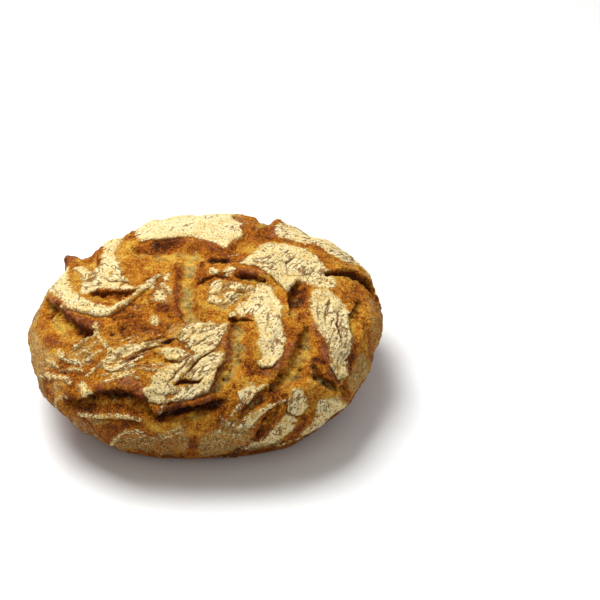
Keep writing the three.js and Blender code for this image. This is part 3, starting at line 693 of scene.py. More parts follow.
def inside_distance(u, v, outline):
    """Distance inside a closed outline, negative outside it, down to FAR_FROM_PLATES."""
    corners = rounded(outline)
    low, high = corners.min(0) + FAR_FROM_PLATES, corners.max(0) - FAR_FROM_PLATES
    near = np.flatnonzero((u > low[0]) & (u < high[0]) & (v > low[1]) & (v < high[1]))
    found = np.full(len(u), FAR_FROM_PLATES)
    x, y = u[near], v[near]
    best = np.full(len(near), -FAR_FROM_PLATES)
    within = np.zeros(len(near), bool)
    for (ax, ay), (bx, by) in zip(corners, np.roll(corners, -1, 0)):
        dx, dy = bx - ax, by - ay
        share = np.clip(((x - ax) * dx + (y - ay) * dy) / (dx * dx + dy * dy), 0, 1)
        best = np.minimum(best, np.hypot(x - ax - share * dx, y - ay - share * dy))
        if ay != by:
            within ^= ((ay > y) != (by > y)) & (x < ax + (y - ay) * dx / dy)
    found[near] = np.where(within, best, -best)
    return found


def innermost(rows, count, names):
    """For each place, the arrays of the row that it is furthest inside, as a dict."""
    fields = {"inside": np.full(count, FAR_FROM_TEARS), "toward": np.zeros((count, 2))}
    for name in names:
        fields[name] = np.zeros(count)
    for row in rows:
        wins = row["inside"] > fields["inside"]
        for name, value in row.items():
            chosen = wins[:, None] if name == "toward" else wins
            fields[name] = np.where(chosen, value, fields[name])
    return fields


def tear_fields(u, v):
    """What the tears do at each place."""
    rows = []
    for depth, ear, pale, shade, path in TEARS.values():
        away, half, side, toward = nearest_on_path(u, v, path)
        lateral = side / np.maximum(half, 0.5)
        rows.append(dict(inside=half - away, toward=toward, half=half, lateral=lateral,
                         depth=depth, ear=ear, pale=pale, shade=shade))
    return innermost(rows, len(u), ("half", "lateral", "depth", "ear", "pale", "shade"))


def plate_fields(u, v, speckle):
    """How far inside the flour each place is, how dusty it is from 0 to 1, the wrinkles'
    direction and their depth."""
    flour = np.full(len(u), FAR_FROM_PLATES)
    nearest = flour
    dust = np.zeros(len(u))
    grain = np.zeros(len(u))
    crease = np.zeros(len(u))
    for cover, plate_grain, plate_crease, outline in PLATES.values():
        inside = inside_distance(u, v, outline)
        wins = inside > nearest
        nearest = np.where(wins, inside, nearest)
        grain = np.where(wins, plate_grain, grain)
        crease = np.where(wins, plate_crease, crease)
        if cover > SOLID_COVER:
            dust = np.maximum(dust, SOLID_DUST * step(-6.0, 0.5, inside))
            solid = SPECKLE_DEPTH * (speckle + COVER_WEIGHT * (cover - 0.5))
            flour = np.maximum(flour, np.minimum(inside, solid))
        else:
            dust = np.maximum(dust, cover * step(-4.0, 4.0, inside))
    for spot_u, spot_v, radius_u, radius_v in WORN:
        away = np.hypot((u - spot_u) / radius_u, (v - spot_v) / radius_v)
        flour = np.minimum(flour, (away - 1) * min(radius_u, radius_v))
    return flour, dust, np.radians(grain), crease


def streak_and_shade_shift(u, v):
    """The sum of the streaks' colour shifts at each place: the crust's own colour, and painted shade."""
    total = np.zeros(len(u))
    for width, shift, path in STREAKS_AND_SHADE:
        total += shift * bump(nearest_on_path(u, v, path)[0], width)
    return total


def deeper(first, second):
    """Of two (distance inside, darkness of painted shade) pairs, the one whose place is further inside.
    """
    wins = second[0] > first[0]
    return np.where(wins, second[0], first[0]), np.where(wins, second[1], first[1])


def crack_fields(u, v):
    """How deep the cracks are, and how far inside one each place is and how dark the painted shade in it
    is.
    """
    depth = np.zeros(len(u))
    inside = (np.full(len(u), FAR_FROM_CUTS), np.zeros(len(u)))
    for shade, path in CRACKS:
        away, half = nearest_on_path(u, v, path)[:2]
        depth = np.maximum(depth, CRACK_DEPTH * half * bump(away, np.maximum(half, 0.6)))
        inside = deeper(inside, (half - away, np.full(len(u), shade)))
    return depth, inside


def edge_fields(u, v):
    """What the plates' overhanging edges do at each place."""
    rows = []
    for depth, shade, path in EDGES:
        away, half, side, toward = nearest_on_path(u, v, path)
        left = step(-0.5, 0.5, side)
        rows.append(dict(inside=half - away, toward=toward, left=left, depth=depth, shade=shade))
    return innermost(rows, len(u), ("left", "depth", "shade"))


def path_bumps(u, v, shapes):
    """The highest of several ridges at each place: how much of it is there, from 0 to 1,
    the row of numbers that goes with it, and how far inside its flour the place is."""
    best = np.zeros(len(u))
    values = np.zeros((len(u), len(shapes[0]) - 2))
    inside = np.full(len(u), FAR_FROM_PLATES)
    for width, *numbers, path in shapes:
        away = nearest_on_path(u, v, path)[0]
        share = bump(away, width)
        wins = share > best
        best = np.where(wins, share, best)
        values = np.where(wins[:, None], numbers, values)
        inside = np.maximum(inside, 0.8 * width - away)
    return best, values, inside


# ---------------------------------------------------------------- the crust


def crust(u, v):
    """Moves places on the smooth form out to the crust. Returns their points, in
    millimetres, and the masks that the material reads."""
    points, along_u, along_v, outward = smooth_frame(u, v)

    # Nothing on a crust runs true, so every shape is looked up at a slightly moved place.
    warp_u = 1.0 * layered(points, 13, 11) + 0.6 * noise(points, 3.6, 15)
    warp_v = 1.0 * layered(points, 13, 21) + 0.6 * noise(points, 3.6, 25)
    wu, wv = u + warp_u, v + warp_v

    # Relief that is all over the crust.
    relief = -0.9 + 1.0 * layered(points, 46, 31, 2) + 0.7 * layered(points, 17, 33, 2)
    for height, waves_u, waves_v, phase in SWELLINGS:
        relief += height * np.sin(2 * np.pi * (waves_u * u + waves_v * v) + phase)

    # Tears. Their floor is deepest beside the walls, and wells up in the middle.
    tear = tear_fields(wu, wv)
    ragged = 1.0 * noise(points, 5.5, 41) + 0.6 * noise(points, 2.6, 42)
    inside = tear["inside"] + ragged
    half = np.maximum(tear["half"], 1.0)
    lateral = tear["lateral"]
    ear_side = tear["ear"] * step(-0.15, 0.45, lateral)
    sharp = 1.3 + (1 - ear_side) * np.maximum(0.7 * half, 1.0)
    wall = step(-0.3, 1.0, inside / sharp)
    lean = 1 - 0.45 * tear["ear"] * step(0.3, -0.9, lateral)
    middle = step(0.35, 0.95, inside / half)
    relief -= tear["depth"] * wall * lean * (1 - FLOOR_SWELL * middle)
    near_lip = ear_side * bump(inside + 1.6, 2.2)
    relief += EAR_LIFT * near_lip
    overhang = EAR_REACH * ear_side * (bump(inside + 0.8, 1.6) - 1.15 * bump(inside - 1.6, 1.5))

    # Ridges, folds and tips.
    ridge, ridge_values, _ = path_bumps(wu, wv, RIDGES)
    ridge_height, ridge_burnt = ridge_values.T
    relief += ridge * ridge_height * (1 - 0.75 * wall)
    fold, fold_values, fold_inside = path_bumps(wu, wv, FOLDS)
    relief += fold * fold_values[:, 0]
    tip_burnt = np.zeros(len(u))
    for dent_u, dent_v, radius_u, radius_v, depth in DENTS:
        relief -= depth * bump(np.hypot((wu - dent_u) / radius_u, (wv - dent_v) / radius_v), 1)
    for tip_u, tip_v, height, radius, burnt in TIPS:
        share = bump(np.hypot(wu - tip_u, wv - tip_v), radius)
        relief += height * share**1.5
        tip_burnt = np.maximum(tip_burnt, burnt * share)

    # Edges of plates that hang over.
    edge = edge_fields(wu, wv)
    under_edge = step(-0.5, 1.0, edge["inside"])
    relief -= edge["depth"] * under_edge
    relief += EDGE_CURL * edge["depth"] * edge["left"] * bump(edge["inside"] + 1.6, 1.5)
    edge_push = EDGE_REACH * edge["depth"] * edge["left"] * bump(edge["inside"] + 0.5, 1.4)

    # Where the crust is blistered, some blisters have burst and flecks of flour stick.
    near_block = bump(np.hypot(wu - BLOCK_MIDDLE[0], wv - BLOCK_MIDDLE[1]) / BLOCK_RADIUS, 1)
    blistered = step(0.0, 0.5, layered(points, 30, 75, 2) + 0.9 * near_block - 0.3)
    nearest, second = cells(points, BLISTER_SPACING, 71)
    burst = blistered * step(0.36, 0.14, nearest)

    # Flour.
    speckle = layered(points, 4.6, 51, 3, 0.65)
    flour, dust, grain, crease = plate_fields(wu, wv, speckle)
    flour += 1.0 * noise(points, 4.2, 55) + 0.9 * noise(points, 2.2, 56)
    flour = np.where(flour > -3.5, flour + 2.2 * edge["left"] * bump(edge["inside"] + 0.8, 1.6), flour)
    flecks = 1.5 * layered(points, 3.6, 59, 2) - 1.2
    flour = np.where(blistered > 0.6, np.maximum(flour, flecks), flour)
    flour = np.minimum(flour, -(inside - 0.3) * 1.4)
    flour = np.maximum(flour, fold_inside + 0.5 * noise(points, 2.1, 58))
    skin = step(-0.7, 0.8, flour)
    relief += SKIN_STEP * skin * (1 - 0.5 * fold)

    # Wrinkles in the flour follow the plate's grain.
    across = -np.sin(grain) * wu + np.cos(grain) * wv
    along = np.cos(grain) * wu + np.sin(grain) * wv
    stretched = np.stack([along * WRINKLE_SQUEEZE, across, points[:, 2] * 0.5], 1)
    strip_near, strip_second = cells(stretched, WRINKLE_SPACING, 61)
    gap = step(0.22, 0.02, strip_second - strip_near) * step(-0.1, 0.35, layered(points, 12, 63, 2))
    relief -= (0.3 + 0.9 * crease) * gap * skin
    relief += 0.65 * crease * skin * layered(stretched, 6.0, 65)
    crack_depth, crack = crack_fields(wu, wv)
    relief -= crack_depth

    # Burst blisters, with painted shade in them.
    pit = (np.full(len(u), FAR_FROM_CUTS), np.zeros(len(u)))
    for pit_u, pit_v, radius, depth in PITS:
        away = np.hypot(wu - pit_u, wv - pit_v)
        relief -= depth * bump(away, radius) ** 1.3
        pit = deeper(pit, (0.75 * radius - away, np.full(len(u), 0.9)))

    # The bare crust is uneven, here and there blistered, and a tear's floor is crumbly.
    bare = (1 - skin) * (1 - wall)
    blister = step(0.0, 0.5, second - nearest)
    lumps = layered(points, 5.5, 73, 3, 0.6)
    crests = 1 - np.minimum(np.abs(layered(points, 9, 77, 3, 0.55)) * 2.2, 1)
    raised = blistered * (0.9 * blister - 0.5)
    relief += bare * (0.6 * lumps + 0.9 * crests**2 - 0.3 + raised - 1.3 * burst)
    crumb_near = cells(points + 1.5 * warp_u[:, None], CRUMB_SPACING, 81)[0]
    crumb = step(0.05, 0.7, crumb_near)
    rough = 0.8 * layered(points, 8.5, 83) + 0.8 * layered(points, 3.0, 85)
    relief += wall * (rough - 1.3 * (1 - crumb))
    shaded_pores = step(0.28, 0.12, crumb_near) * wall * step(0.2, 0.6, layered(points, 9, 87) + 0.45)
    relief -= 1.2 * shaded_pores

    fade = step(0, SOLE_FADE, CROWN_TO_SOLE - np.hypot(u, v))
    pushed = tear["toward"] * (overhang * fade)[:, None] + edge["toward"] * (edge_push * fade)[:, None]
    moved = points + along_u * pushed[:, :1] + along_v * pushed[:, 1:]
    moved += outward * (relief * fade)[:, None]

    # Masks. tone runs from yellow ochre at 0 to nearly black at 1. flour and cut are
    # distances inside, in millimetres, so that the material draws crisp edges. cut is where
    # shade is painted, in cracks, pits and pores and under ears and plate edges, and shade is how dark it
    # is.
    patchy = 0.75 + 0.6 * layered(points, 9, 95)
    burnt = np.maximum(ridge * ridge_burnt * (1 - skin), tip_burnt)
    burnt = np.maximum(burnt, 0.6 * near_lip * (1 - skin)) * patchy
    rust = bump(inside / np.maximum(0.55 * half, 1.2), 1.0)
    # Painted shade: a tear's floor is darker in the crumb's low parts.
    floor_tone = 0.1 + 0.24 * rust + 0.16 * layered(points, 6, 97) - 0.05 * middle + 0.3 * (1 - crumb)
    crust_tone = 0.42 + 0.15 * layered(points, 14, 93) + 0.07 * layered(points, 4.5, 94)
    crust_tone -= 0.12 * crests**2
    # Low on the sides the crust is darker, partly its own colour and partly painted shade.
    # Painted shade: burst blisters are darker in their hollows.
    crust_tone += 0.3 * burst + LOW_TONE_AND_SHADE * step(*LOW_BAND, points[:, 2])
    tone = crust_tone * (1 - wall) + floor_tone * wall + streak_and_shade_shift(wu, wv)
    # Painted shade: dark colour in the cracks and under a tear's ear.
    painted_ear_shade = np.minimum(inside - 0.1, 0.8 + 2.2 * tear["shade"] - inside)
    painted_shade_under_ear = step(0.0, 0.7, lateral) * step(0.0, 0.5, ear_side)
    cut = deeper(crack, (painted_ear_shade, np.clip(1.4 * tear["shade"], 0, 1.1) * painted_shade_under_ear))
    # Painted shade under a plate's overhanging edge.
    cut = deeper(cut, (edge["inside"] + 0.1, edge["shade"]))
    # Painted shade in the pits and in the crumb's pores.
    cut = deeper(cut, pit)
    cut = deeper(cut, (1.6 * shaded_pores - 1.0, np.full(len(u), 0.7)))
    masks = {
        "flour": flour,
        "dust": dust * (1 - 0.8 * wall) * (1 - step(0.75, 1.0, tone)),
        "tone": tone,
        "burnt": burnt,
        "rift": wall,
        "pale": tear["pale"] * step(0.0, 0.85, inside / half) + 0.35 * wall * layered(points, 8, 99),
        "cut": cut[0],
        "shade": cut[1],
        "along": along,
        "across": across,
        "crease": crease,
    }
    return moved, masks


def sole(u, v):
    """Points of the sole, which is flat but for shallow dents, and its masks."""
    share = np.hypot(u, v)
    angle = np.arctan2(v, u)
    rim = sole_rim(angle)
    points = rim * share[:, None]
    points[:, 2] = 0
    dent = 1.6 * np.maximum(layered(points, 26, 101, 4), 0) + 0.7 * np.maximum(noise(points, 5, 106), 0)
    nearest = cells(points, 11, 107)[0]
    pock = step(0.3, 0.1, nearest) * step(0.1, 0.4, noise(points, 22, 108))
    points[:, 2] = (dent + 1.2 * pock) * step(1.0, 0.93, share)
    speckle = layered(points, 9, 109, 4, 0.7)
    masks = {
        "flour": np.full(len(u), FAR_FROM_CUTS),
        "dust": np.clip(0.45 + 0.5 * speckle - 0.4 * dent, 0, 0.85),
        "tone": 0.52 + 0.18 * layered(points, 30, 115) + 0.08 * noise(points, 6, 118),
        "burnt": np.zeros(len(u)),
        "rift": np.zeros(len(u)),
        "pale": np.zeros(len(u)),
        # Painted shade in the sole's pocks.
        "cut": 1.5 * pock - 1.0,
        "shade": np.full(len(u), 0.7),
        "along": points[:, 0],
        "across": points[:, 1],
        "crease": np.zeros(len(u)),
    }
    return points, masks


# ---------------------------------------------------------------- the mesh


def ring_places():
    """Rings of places from the crown to the sole: for each, its distance and number of corners."""
    rings = [(0.0, 1)]
    for ring in range(1, CROWN_RINGS + 1):
        rings.append((CROWN_TO_BELLY * ring / CROWN_RINGS, SECTORS * ring))
    for ring in range(1, SIDE_RINGS + 1):
        distance = CROWN_TO_BELLY + (CROWN_TO_SOLE - CROWN_TO_BELLY) * ring / SIDE_RINGS
        rings.append((distance, SECTORS * CROWN_RINGS))
    return rings


def sole_rings():
    """Rings of the sole from its rim inward: (share of the sole, number of corners)."""
    rings = []
    share, count = 1.0, SECTORS * CROWN_RINGS
    for reached, steps in SOLE_BANDS:
        for ring in range(1, steps + 1):
            rings.append((share + (reached - share) * ring / steps, count))
        share = reached
        count //= 2
    rings[-1] = (0.0, 1)
    return rings


def ring_corners(distance, count):
    """u and v of evenly spaced corners on a ring."""
    angle = 2 * np.pi * np.arange(count) / count
    return distance * np.cos(angle), distance * np.sin(angle)


def growing_strip(inner, outer, count):
    """Triangles between a ring and the next, which has SECTORS corners more."""
    per_sector = count // SECTORS
    sector, index = np.divmod(np.arange(count), per_sector)
    inside = sector * (per_sector - 1) + index
    inner_count = max(count - SECTORS, 1)
    a = inner + inside % inner_count
    b = outer + np.arange(count)
    c = outer + (np.arange(count) + 1) % count
    outward = np.stack([a, b, c], 1)
    keep = index < per_sector - 1
    back = inner + (inside + 1) % inner_count
    return np.concatenate([outward, np.stack([a, c, back], 1)[keep]])


def even_strip(upper, lower, count):
    """Triangles between two rings with as many corners."""
    here = np.arange(count)
    after = (here + 1) % count
    first = np.stack([upper + here, lower + here, lower + after], 1)
    return np.concatenate([first, np.stack([upper + here, lower + after, upper + after], 1)])


def closing_fan(outer, middle, count):
    """Triangles between a ring and the one point inside it."""
    here = np.arange(count)
    return np.stack([outer + here, np.full(count, middle), outer + (here + 1) % count], 1)


def halving_strip(outer, inner, count):
    """Triangles between a ring and the next, which has half as many corners."""
    here = np.arange(count // 2)
    after = (here + 1) % (count // 2)
    first, middle, last = 2 * here, 2 * here + 1, (2 * here + 2) % count
    return np.concatenate([
        np.stack([inner + here, outer + middle, outer + first], 1),
        np.stack([outer + middle, inner + here, inner + after], 1),
        np.stack([outer + middle, inner + after, outer + last], 1),
    ])


def loaf_mesh():
    """The loaf's points, masks, triangles and map, with the sole's points after the crust's."""
    rings = ring_places()
    crust_places, starts = [], []
    total = 0
    for distance, count in rings:
        crust_places.append(ring_corners(distance, count))
        starts.append(total)
        total += count
    triangles = []
    for ring in range(1, len(rings)):
        strip = growing_strip if ring <= CROWN_RINGS else even_strip
        triangles.append(strip(starts[ring - 1], starts[ring], rings[ring][1]))
    crust_count = total
    last_start, last_count = starts[-1], rings[-1][1]
    sole_places = []
    for share, count in sole_rings():
        sole_places.append(ring_corners(share, count))
        if count == 1:
            triangles.append(closing_fan(last_start, total, last_count))
        elif count == last_count:
            triangles.append(even_strip(last_start, total, count))
        else:
            triangles.append(halving_strip(last_start, total, last_count))
        last_start, last_count = total, count
        total += count
    crust_places = np.concatenate(crust_places, 1)
    sole_places = np.concatenate(sole_places, 1)
    crust_points, crust_masks = crust(*crust_places)
    sole_points, sole_masks = sole(*sole_places)
    points = np.concatenate([crust_points, sole_points])
    masks = {name: np.concatenate([crust_masks[name], sole_masks[name]]) for name in crust_masks}
    triangles = np.concatenate(triangles)
    places = np.concatenate([crust_places / CROWN_TO_SOLE, sole_places], 1).T
    on_sole = (triangles >= crust_count).any(1)
    return points, masks, triangles, places, on_sole


RIM_STEPS = 721
FLAT_BELOW = 0.05  # corners of the CAD solid lower than this are on its sole


def flat_part(node):
    """The middle of a CAD node's flat underside, and its width, in millimetres."""
    corners = np.array([corner.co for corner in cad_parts[node].data.vertices]) / MM
    flat = corners[corners[:, 2] < FLAT_BELOW]
    return (flat.min(0) + flat.max(0)) / 2, np.ptp(flat[:, 0])


def placed(points):
    """Points in the frame's millimetres: the smooth form's sole goes onto the CAD solid's."""
    angle = np.linspace(0, 2 * np.pi, RIM_STEPS)
    rim = sole_rim(angle)
    middle, width = flat_part("loaf")
    scale = width / np.ptp(rim[:, 0])
    return (points - (rim.min(0) + rim.max(0)) / 2) * scale + middle


# The map holds the crust in a large disc and the sole in a small one beside it:
# (middle across, middle up, radius).
CRUST_DISC = (0.43, 0.57, 0.42)
SOLE_DISC = (0.84, 0.16, 0.145)


def build_loaf():
    points, masks, triangles, places, on_sole = loaf_mesh()
    points = placed(points) * MM
    mesh = bpy.data.meshes.new("rye_loaf")
    mesh.from_pydata(points, [], triangles)
    for name, values in masks.items():
        attribute = mesh.attributes.new(name, "FLOAT", "POINT")
        attribute.data.foreach_set("value", values.astype(np.float32))
    corners = triangles.reshape(-1)
    flat = np.repeat(on_sole, 3)
    disc = np.where(flat[:, None], SOLE_DISC, CRUST_DISC)
    # A rim corner is at share 1 in both discs.
    map_places = disc[:, :2] + places[corners] * disc[:, 2:]
    layer = mesh.uv_layers.new(name="OFBake")
    layer.uv.foreach_set("vector", map_places.astype(np.float32).ravel())
    mesh.polygons.foreach_set("use_smooth", np.ones(len(triangles), bool))
    mesh.update()
    loaf = bpy.data.objects.new("rye_loaf", mesh)
    bpy.context.collection.objects.link(loaf)
    return loaf


# ---------------------------------------------------------------- materials


def colour(red, green, blue):
    """A screen colour, 0 to 255 a channel, as Blender's linear colour."""
    linear = []
    for channel in (red, green, blue):
        dark = channel / 255 / 12.92
        linear.append(((channel / 255 + 0.055) / 1.055) ** 2.4 if channel > 10 else dark)
    return (*linear, 1.0)


class Nodes:
    """Makes a material's nodes, one short call each."""

    def __init__(self, material):
        material.use_nodes = True
        self.tree = material.node_tree
        self.tree.nodes.clear()

    def add(self, kind, inputs=(), output=0, **settings):
        made = self.tree.nodes.new(kind)
        for name, value in settings.items():
            setattr(made, name, value)
        for name, value in dict(inputs).items():
            if isinstance(value, bpy.types.NodeSocket):
                self.tree.links.new(value, made.inputs[name])
            else:
                made.inputs[name].default_value = value
        return made.outputs[output] if made.outputs else made

    def mask(self, name):
        return self.add("ShaderNodeAttribute", output=2, attribute_name=name)

    def math(self, operation, first, second=0.0, clamp=False):
        return self.add("ShaderNodeMath", {0: first, 1: second}, operation=operation, use_clamp=clamp)

    def times(self, first, second):
        return self.math("MULTIPLY", first, second)

    def added(self, start, *noises):
        """start, plus each noise's swing about its middle times its strength."""
        total = start
        for value, strength in noises:
            swing = self.math("SUBTRACT", value, 0.5)
            total = self.math("ADD", self.times(swing, strength), total)
        return total

    def between(self, value, low, high, to_low=0.0, to_high=1.0):
        inputs = {0: value, 1: low, 2: high, 3: to_low, 4: to_high}
        return self.add("ShaderNodeMapRange", inputs, interpolation_type="SMOOTHSTEP")

    def noise(self, place, size_mm, detail=3.0, rough=0.55):
        inputs = {"Vector": place, "Scale": 1000.0 / size_mm, "Detail": detail, "Roughness": rough}
        return self.add("ShaderNodeTexNoise", inputs)

    def spots(self, place, size_mm, feature="F1"):
        inputs = {"Vector": place, "Scale": 1000.0 / size_mm}
        return self.add("ShaderNodeTexVoronoi", inputs, feature=feature)

    def mix(self, share, first, second):
        return self.add("ShaderNodeMix", {0: share, 6: first, 7: second}, 2, data_type="RGBA")

    def ramp(self, value, *stops):
        """The colour for a value, from stops of (value, red, green, blue)."""
        made = self.tree.nodes.new("ShaderNodeValToRGB")
        self.tree.links.new(value, made.inputs[0])
        elements = made.color_ramp.elements
        while len(elements) < len(stops):
            elements.new(1.0)
        for element, (position, *shade) in zip(elements, stops):
            element.position = position
            element.color = colour(*shade)
        return made.outputs[0]


FINE_RELIEF = 1.6 * MM
CRUST_SHINE = 0.12


def crust_material():
    material = bpy.data.materials.new("rye_crust")
    nodes = Nodes(material)
    place = nodes.add("ShaderNodeTexCoord", output=3)
    broad = nodes.noise(place, 18, 4)
    medium = nodes.noise(place, 6, 4, 0.6)
    fine = nodes.noise(place, 2.0, 4, 0.65)
    grit = nodes.noise(place, 0.9, 3, 0.7)
    crease = nodes.mask("crease")
    grain_place = nodes.add("ShaderNodeCombineXYZ", {
        "X": nodes.times(nodes.mask("along"), 0.25 * MM),
        "Y": nodes.times(nodes.mask("across"), MM),
    })
    streak = nodes.noise(grain_place, 1.5, 3, 0.6)

    # Bare crust, from yellow ochre through orange-brown to nearly black.
    tone = nodes.added(nodes.mask("tone"), (broad, 0.6), (medium, 0.6), (fine, 1.0), (grit, 1.6))
    # Painted shade in small pits of the bare crust.
    small_pits = nodes.between(nodes.spots(place, 3.0), 0.36, 0.12)
    shaded_pits = nodes.times(small_pits, nodes.between(medium, 0.44, 0.6))
    tone = nodes.math("ADD", tone, nodes.times(shaded_pits, 0.34))
    base = nodes.ramp(
        tone,
        (0.0, 226, 182, 76),
        (0.18, 210, 152, 46),
        (0.36, 192, 115, 20),
        (0.55, 160, 84, 8),
        (0.74, 116, 54, 3),
        (1.0, 62, 24, 1),
    )
    burnt_skin = nodes.mix(nodes.between(medium, 0.42, 0.6), colour(120, 48, 14), colour(182, 112, 72))
    burnt = nodes.added(nodes.mask("burnt"), (fine, 1.2))
    base = nodes.mix(nodes.between(burnt, 0.25, 0.85, 0, 0.9), base, burnt_skin)

    # Grey-green crumb where a tear is widest open.
    crumb = nodes.mix(nodes.between(fine, 0.38, 0.62), colour(128, 104, 44), colour(196, 172, 104))
    pale = nodes.added(nodes.mask("pale"), (medium, 2.2), (fine, 1.4))
    base = nodes.mix(nodes.between(pale, 0.35, 0.95, 0, 0.85), base, crumb)
    # Painted shade in the crumb's pores, dark olive-brown.
    shaded_pores = nodes.between(nodes.added(nodes.spots(place, 2.0), (fine, -0.8)), 0.3, 0.14)
    shaded_pores = nodes.times(shaded_pores, nodes.times(nodes.mask("rift"), nodes.between(medium, 0.4, 0.6)))
    base = nodes.mix(nodes.times(shaded_pores, 0.75), base, colour(104, 70, 18))

    # Dust: specks of flour that didn't merge.
    speck = nodes.noise(place, 1.8, 4, 0.75)
    dust = nodes.mask("dust")
    dusty = nodes.added(nodes.times(dust, 1.6), (speck, 3.0), (medium, 1.6))
    dust_tone = nodes.added(0.5, (fine, 1.6), (grit, 2.4), (streak, 1.6))
    dust_colour = nodes.ramp(
        dust_tone,
        (0.15, 112, 76, 26),
        (0.45, 164, 126, 62),
        (0.8, 218, 190, 126),
    )
    speck_share = nodes.times(nodes.between(dusty, 0.7, 1.15, 0, 0.9), nodes.between(dust, 0.12, 0.5))
    base = nodes.mix(speck_share, base, dust_colour)

    # Flour, with a ragged edge, pinholes and fine cracks along its grain.
    thin = nodes.between(nodes.mask("flour"), 0.0, 2.4, 0.44, 0.62)
    flour_tone = nodes.added(thin, (broad, 0.8), (medium, 0.6), (fine, 1.3), (grit, 1.6))
    flour = nodes.ramp(
        flour_tone,
        (0.1, 194, 146, 68),
        (0.35, 228, 192, 116),
        (0.55, 245, 219, 152),
        (0.8, 253, 237, 190),
    )
    edge = nodes.added(nodes.mask("flour"), (fine, 7.0), (grit, 6.0))
    covered = nodes.between(edge, -0.2, 0.35)
    ragged_spots = nodes.added(nodes.spots(place, 2.1), (fine, 0.9))
    pinhole = nodes.times(nodes.between(ragged_spots, 0.34, 0.16), nodes.between(medium, 0.36, 0.5))
    lines = nodes.spots(grain_place, 3.6, "DISTANCE_TO_EDGE")
    torn = nodes.added(nodes.times(crease, 0.5), (medium, 4.0), (broad, 3.0))
    line_share = nodes.between(nodes.added(lines, (fine, 0.3)), 0.13, 0.05)
    hairline = nodes.times(line_share, nodes.between(torn, 0.5, 0.8))
    missing = nodes.math("MAXIMUM", pinhole, hairline)
    underside = nodes.mix(nodes.between(fine, 0.4, 0.6), colour(112, 74, 20), colour(166, 112, 42))
    flour = nodes.mix(nodes.times(missing, 0.88), flour, underside)
    final = nodes.mix(covered, base, flour)

    # Painted shade in cracks, pits, pores and hollows and under ears and plate edges.
    cut = nodes.mask("cut")
    painted_shade_edge = nodes.added(cut, (fine, 1.6), (grit, 1.2))
    painted_shade_share = nodes.math("MULTIPLY", nodes.between(painted_shade_edge, -0.5, 0.6), nodes.mask("shade"), True)
    # The painted shade's colour, from dark brown to nearly black as it gets deeper.
    hollow = nodes.mix(nodes.between(cut, 0.2, 1.4), colour(104, 49, 5), colour(44, 18, 1))
    final = nodes.mix(painted_shade_share, final, hollow)

    # Flour is matt; baked skin has a slight shine.
    bare_rough = nodes.between(fine, 0.3, 0.7, 0.55, 0.8)
    rough = nodes.math("MAXIMUM", bare_rough, nodes.times(covered, 0.95))
    relief = nodes.added(0.0, (fine, 1.6), (grit, 0.9), (streak, 0.7))
    relief = nodes.math("ADD", relief, nodes.times(covered, 0.35))
    relief = nodes.math("SUBTRACT", relief, nodes.times(nodes.math("ADD", missing, shaded_pits), 0.4))
    normal = nodes.add("ShaderNodeBump", {"Strength": 1.0, "Distance": FINE_RELIEF, "Height": relief})
    shader = nodes.add("ShaderNodeBsdfPrincipled", {
        "Base Color": final,
        "Roughness": rough,
        "Normal": normal,
        "Specular IOR Level": CRUST_SHINE,
    })
    nodes.add("ShaderNodeOutputMaterial", {"Surface": shader})
    return material


def floor_material():
    material = bpy.data.materials.new("pale_floor")
    nodes = Nodes(material)
    place = nodes.add("ShaderNodeTexCoord", output=3)
    tone = nodes.mix(nodes.noise(place, 60), colour(226, 226, 225), colour(230, 230, 229))
    shader = nodes.add("ShaderNodeBsdfPrincipled", {"Base Color": tone, "Roughness": 0.8})
    nodes.add("ShaderNodeOutputMaterial", {"Surface": shader})
    return material


# ---------------------------------------------------------------- stage, light and camera

CAMERA_ELEVATION = math.radians(35)
CAMERA_DISTANCE = 0.991
CAMERA_LENS = 85.0
SENSOR_WIDTH = 36.0
AIM_FROM_MIDDLE = (64.5, 0.0, 68.9)  # mm from the middle of the sole; the loaf sits left of centre
FLOOR_REACH = 4.0
FLOOR_DROP = 0.2 * MM  # the floor lies this far below the sole
WORLD_STRENGTH = 0.43
LIGHT_TARGET = (0, 0, 0.05)
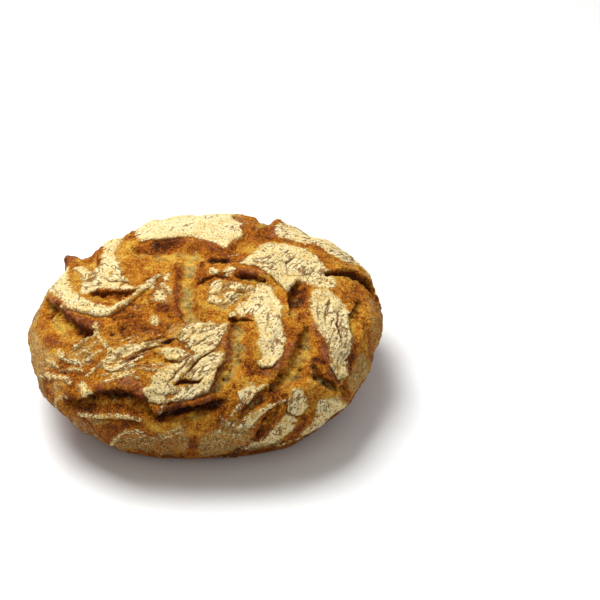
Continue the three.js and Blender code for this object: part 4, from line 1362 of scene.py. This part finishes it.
# The area lights: (name, place, size, power).
LIGHTS = (("key", (-0.36, 0.3, 1.28), 0.8, 27.5), ("fill", (0.6, -0.9, 1.2), 1.5, 2.0))


def aim(thing, place, target):
    """Puts a light or camera at place and turns its -Z axis to the target."""
    direction = np.array(target) - np.array(place)
    thing.location = place
    yaw = math.atan2(direction[0], direction[1])
    tilt = math.atan2(direction[2], math.hypot(direction[0], direction[1]))
    thing.rotation_euler = (math.pi / 2 + tilt, 0, -yaw)


def add_camera():
    data = bpy.data.cameras.new("camera")
    data.lens = CAMERA_LENS
    data.sensor_width = SENSOR_WIDTH
    camera = bpy.data.objects.new("camera", data)
    bpy.context.collection.objects.link(camera)
    target = placed(np.array([AIM_FROM_MIDDLE]))[0] * MM
    back = np.array([0, -math.cos(CAMERA_ELEVATION), math.sin(CAMERA_ELEVATION)])
    aim(camera, target + back * CAMERA_DISTANCE, target)
    bpy.context.scene.camera = camera


def add_area_light(name, place, size, power):
    data = bpy.data.lights.new(name, "AREA")
    data.energy = power
    data.size = size
    light = bpy.data.objects.new(name, data)
    bpy.context.collection.objects.link(light)
    aim(light, place, LIGHT_TARGET)


def add_stage():
    mesh = bpy.data.meshes.new("floor")
    corners = [(x * FLOOR_REACH, y * FLOOR_REACH, 0) for x, y in ((-1, -1), (1, -1), (1, 1), (-1, 1))]
    mesh.from_pydata(corners, [], [(0, 1, 2, 3)])
    mesh.materials.append(floor_material())
    floor = bpy.data.objects.new("floor", mesh)
    floor.location.z = -FLOOR_DROP
    bpy.context.collection.objects.link(floor)
    world = bpy.data.worlds.new("world")
    world.use_nodes = True
    background = world.node_tree.nodes["Background"]
    background.inputs["Color"].default_value = (1, 1, 1, 1)
    background.inputs["Strength"].default_value = WORLD_STRENGTH
    scene = bpy.context.scene
    scene.world = world
    for light in LIGHTS:
        add_area_light(*light)
    scene.view_settings.view_transform = "Standard"
    scene.view_settings.look = "None"


# ---------------------------------------------------------------- the model

loaf = build_loaf()
loaf.data.materials.append(crust_material())
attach(loaf, "root")
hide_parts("loaf")
add_camera()
add_stage()
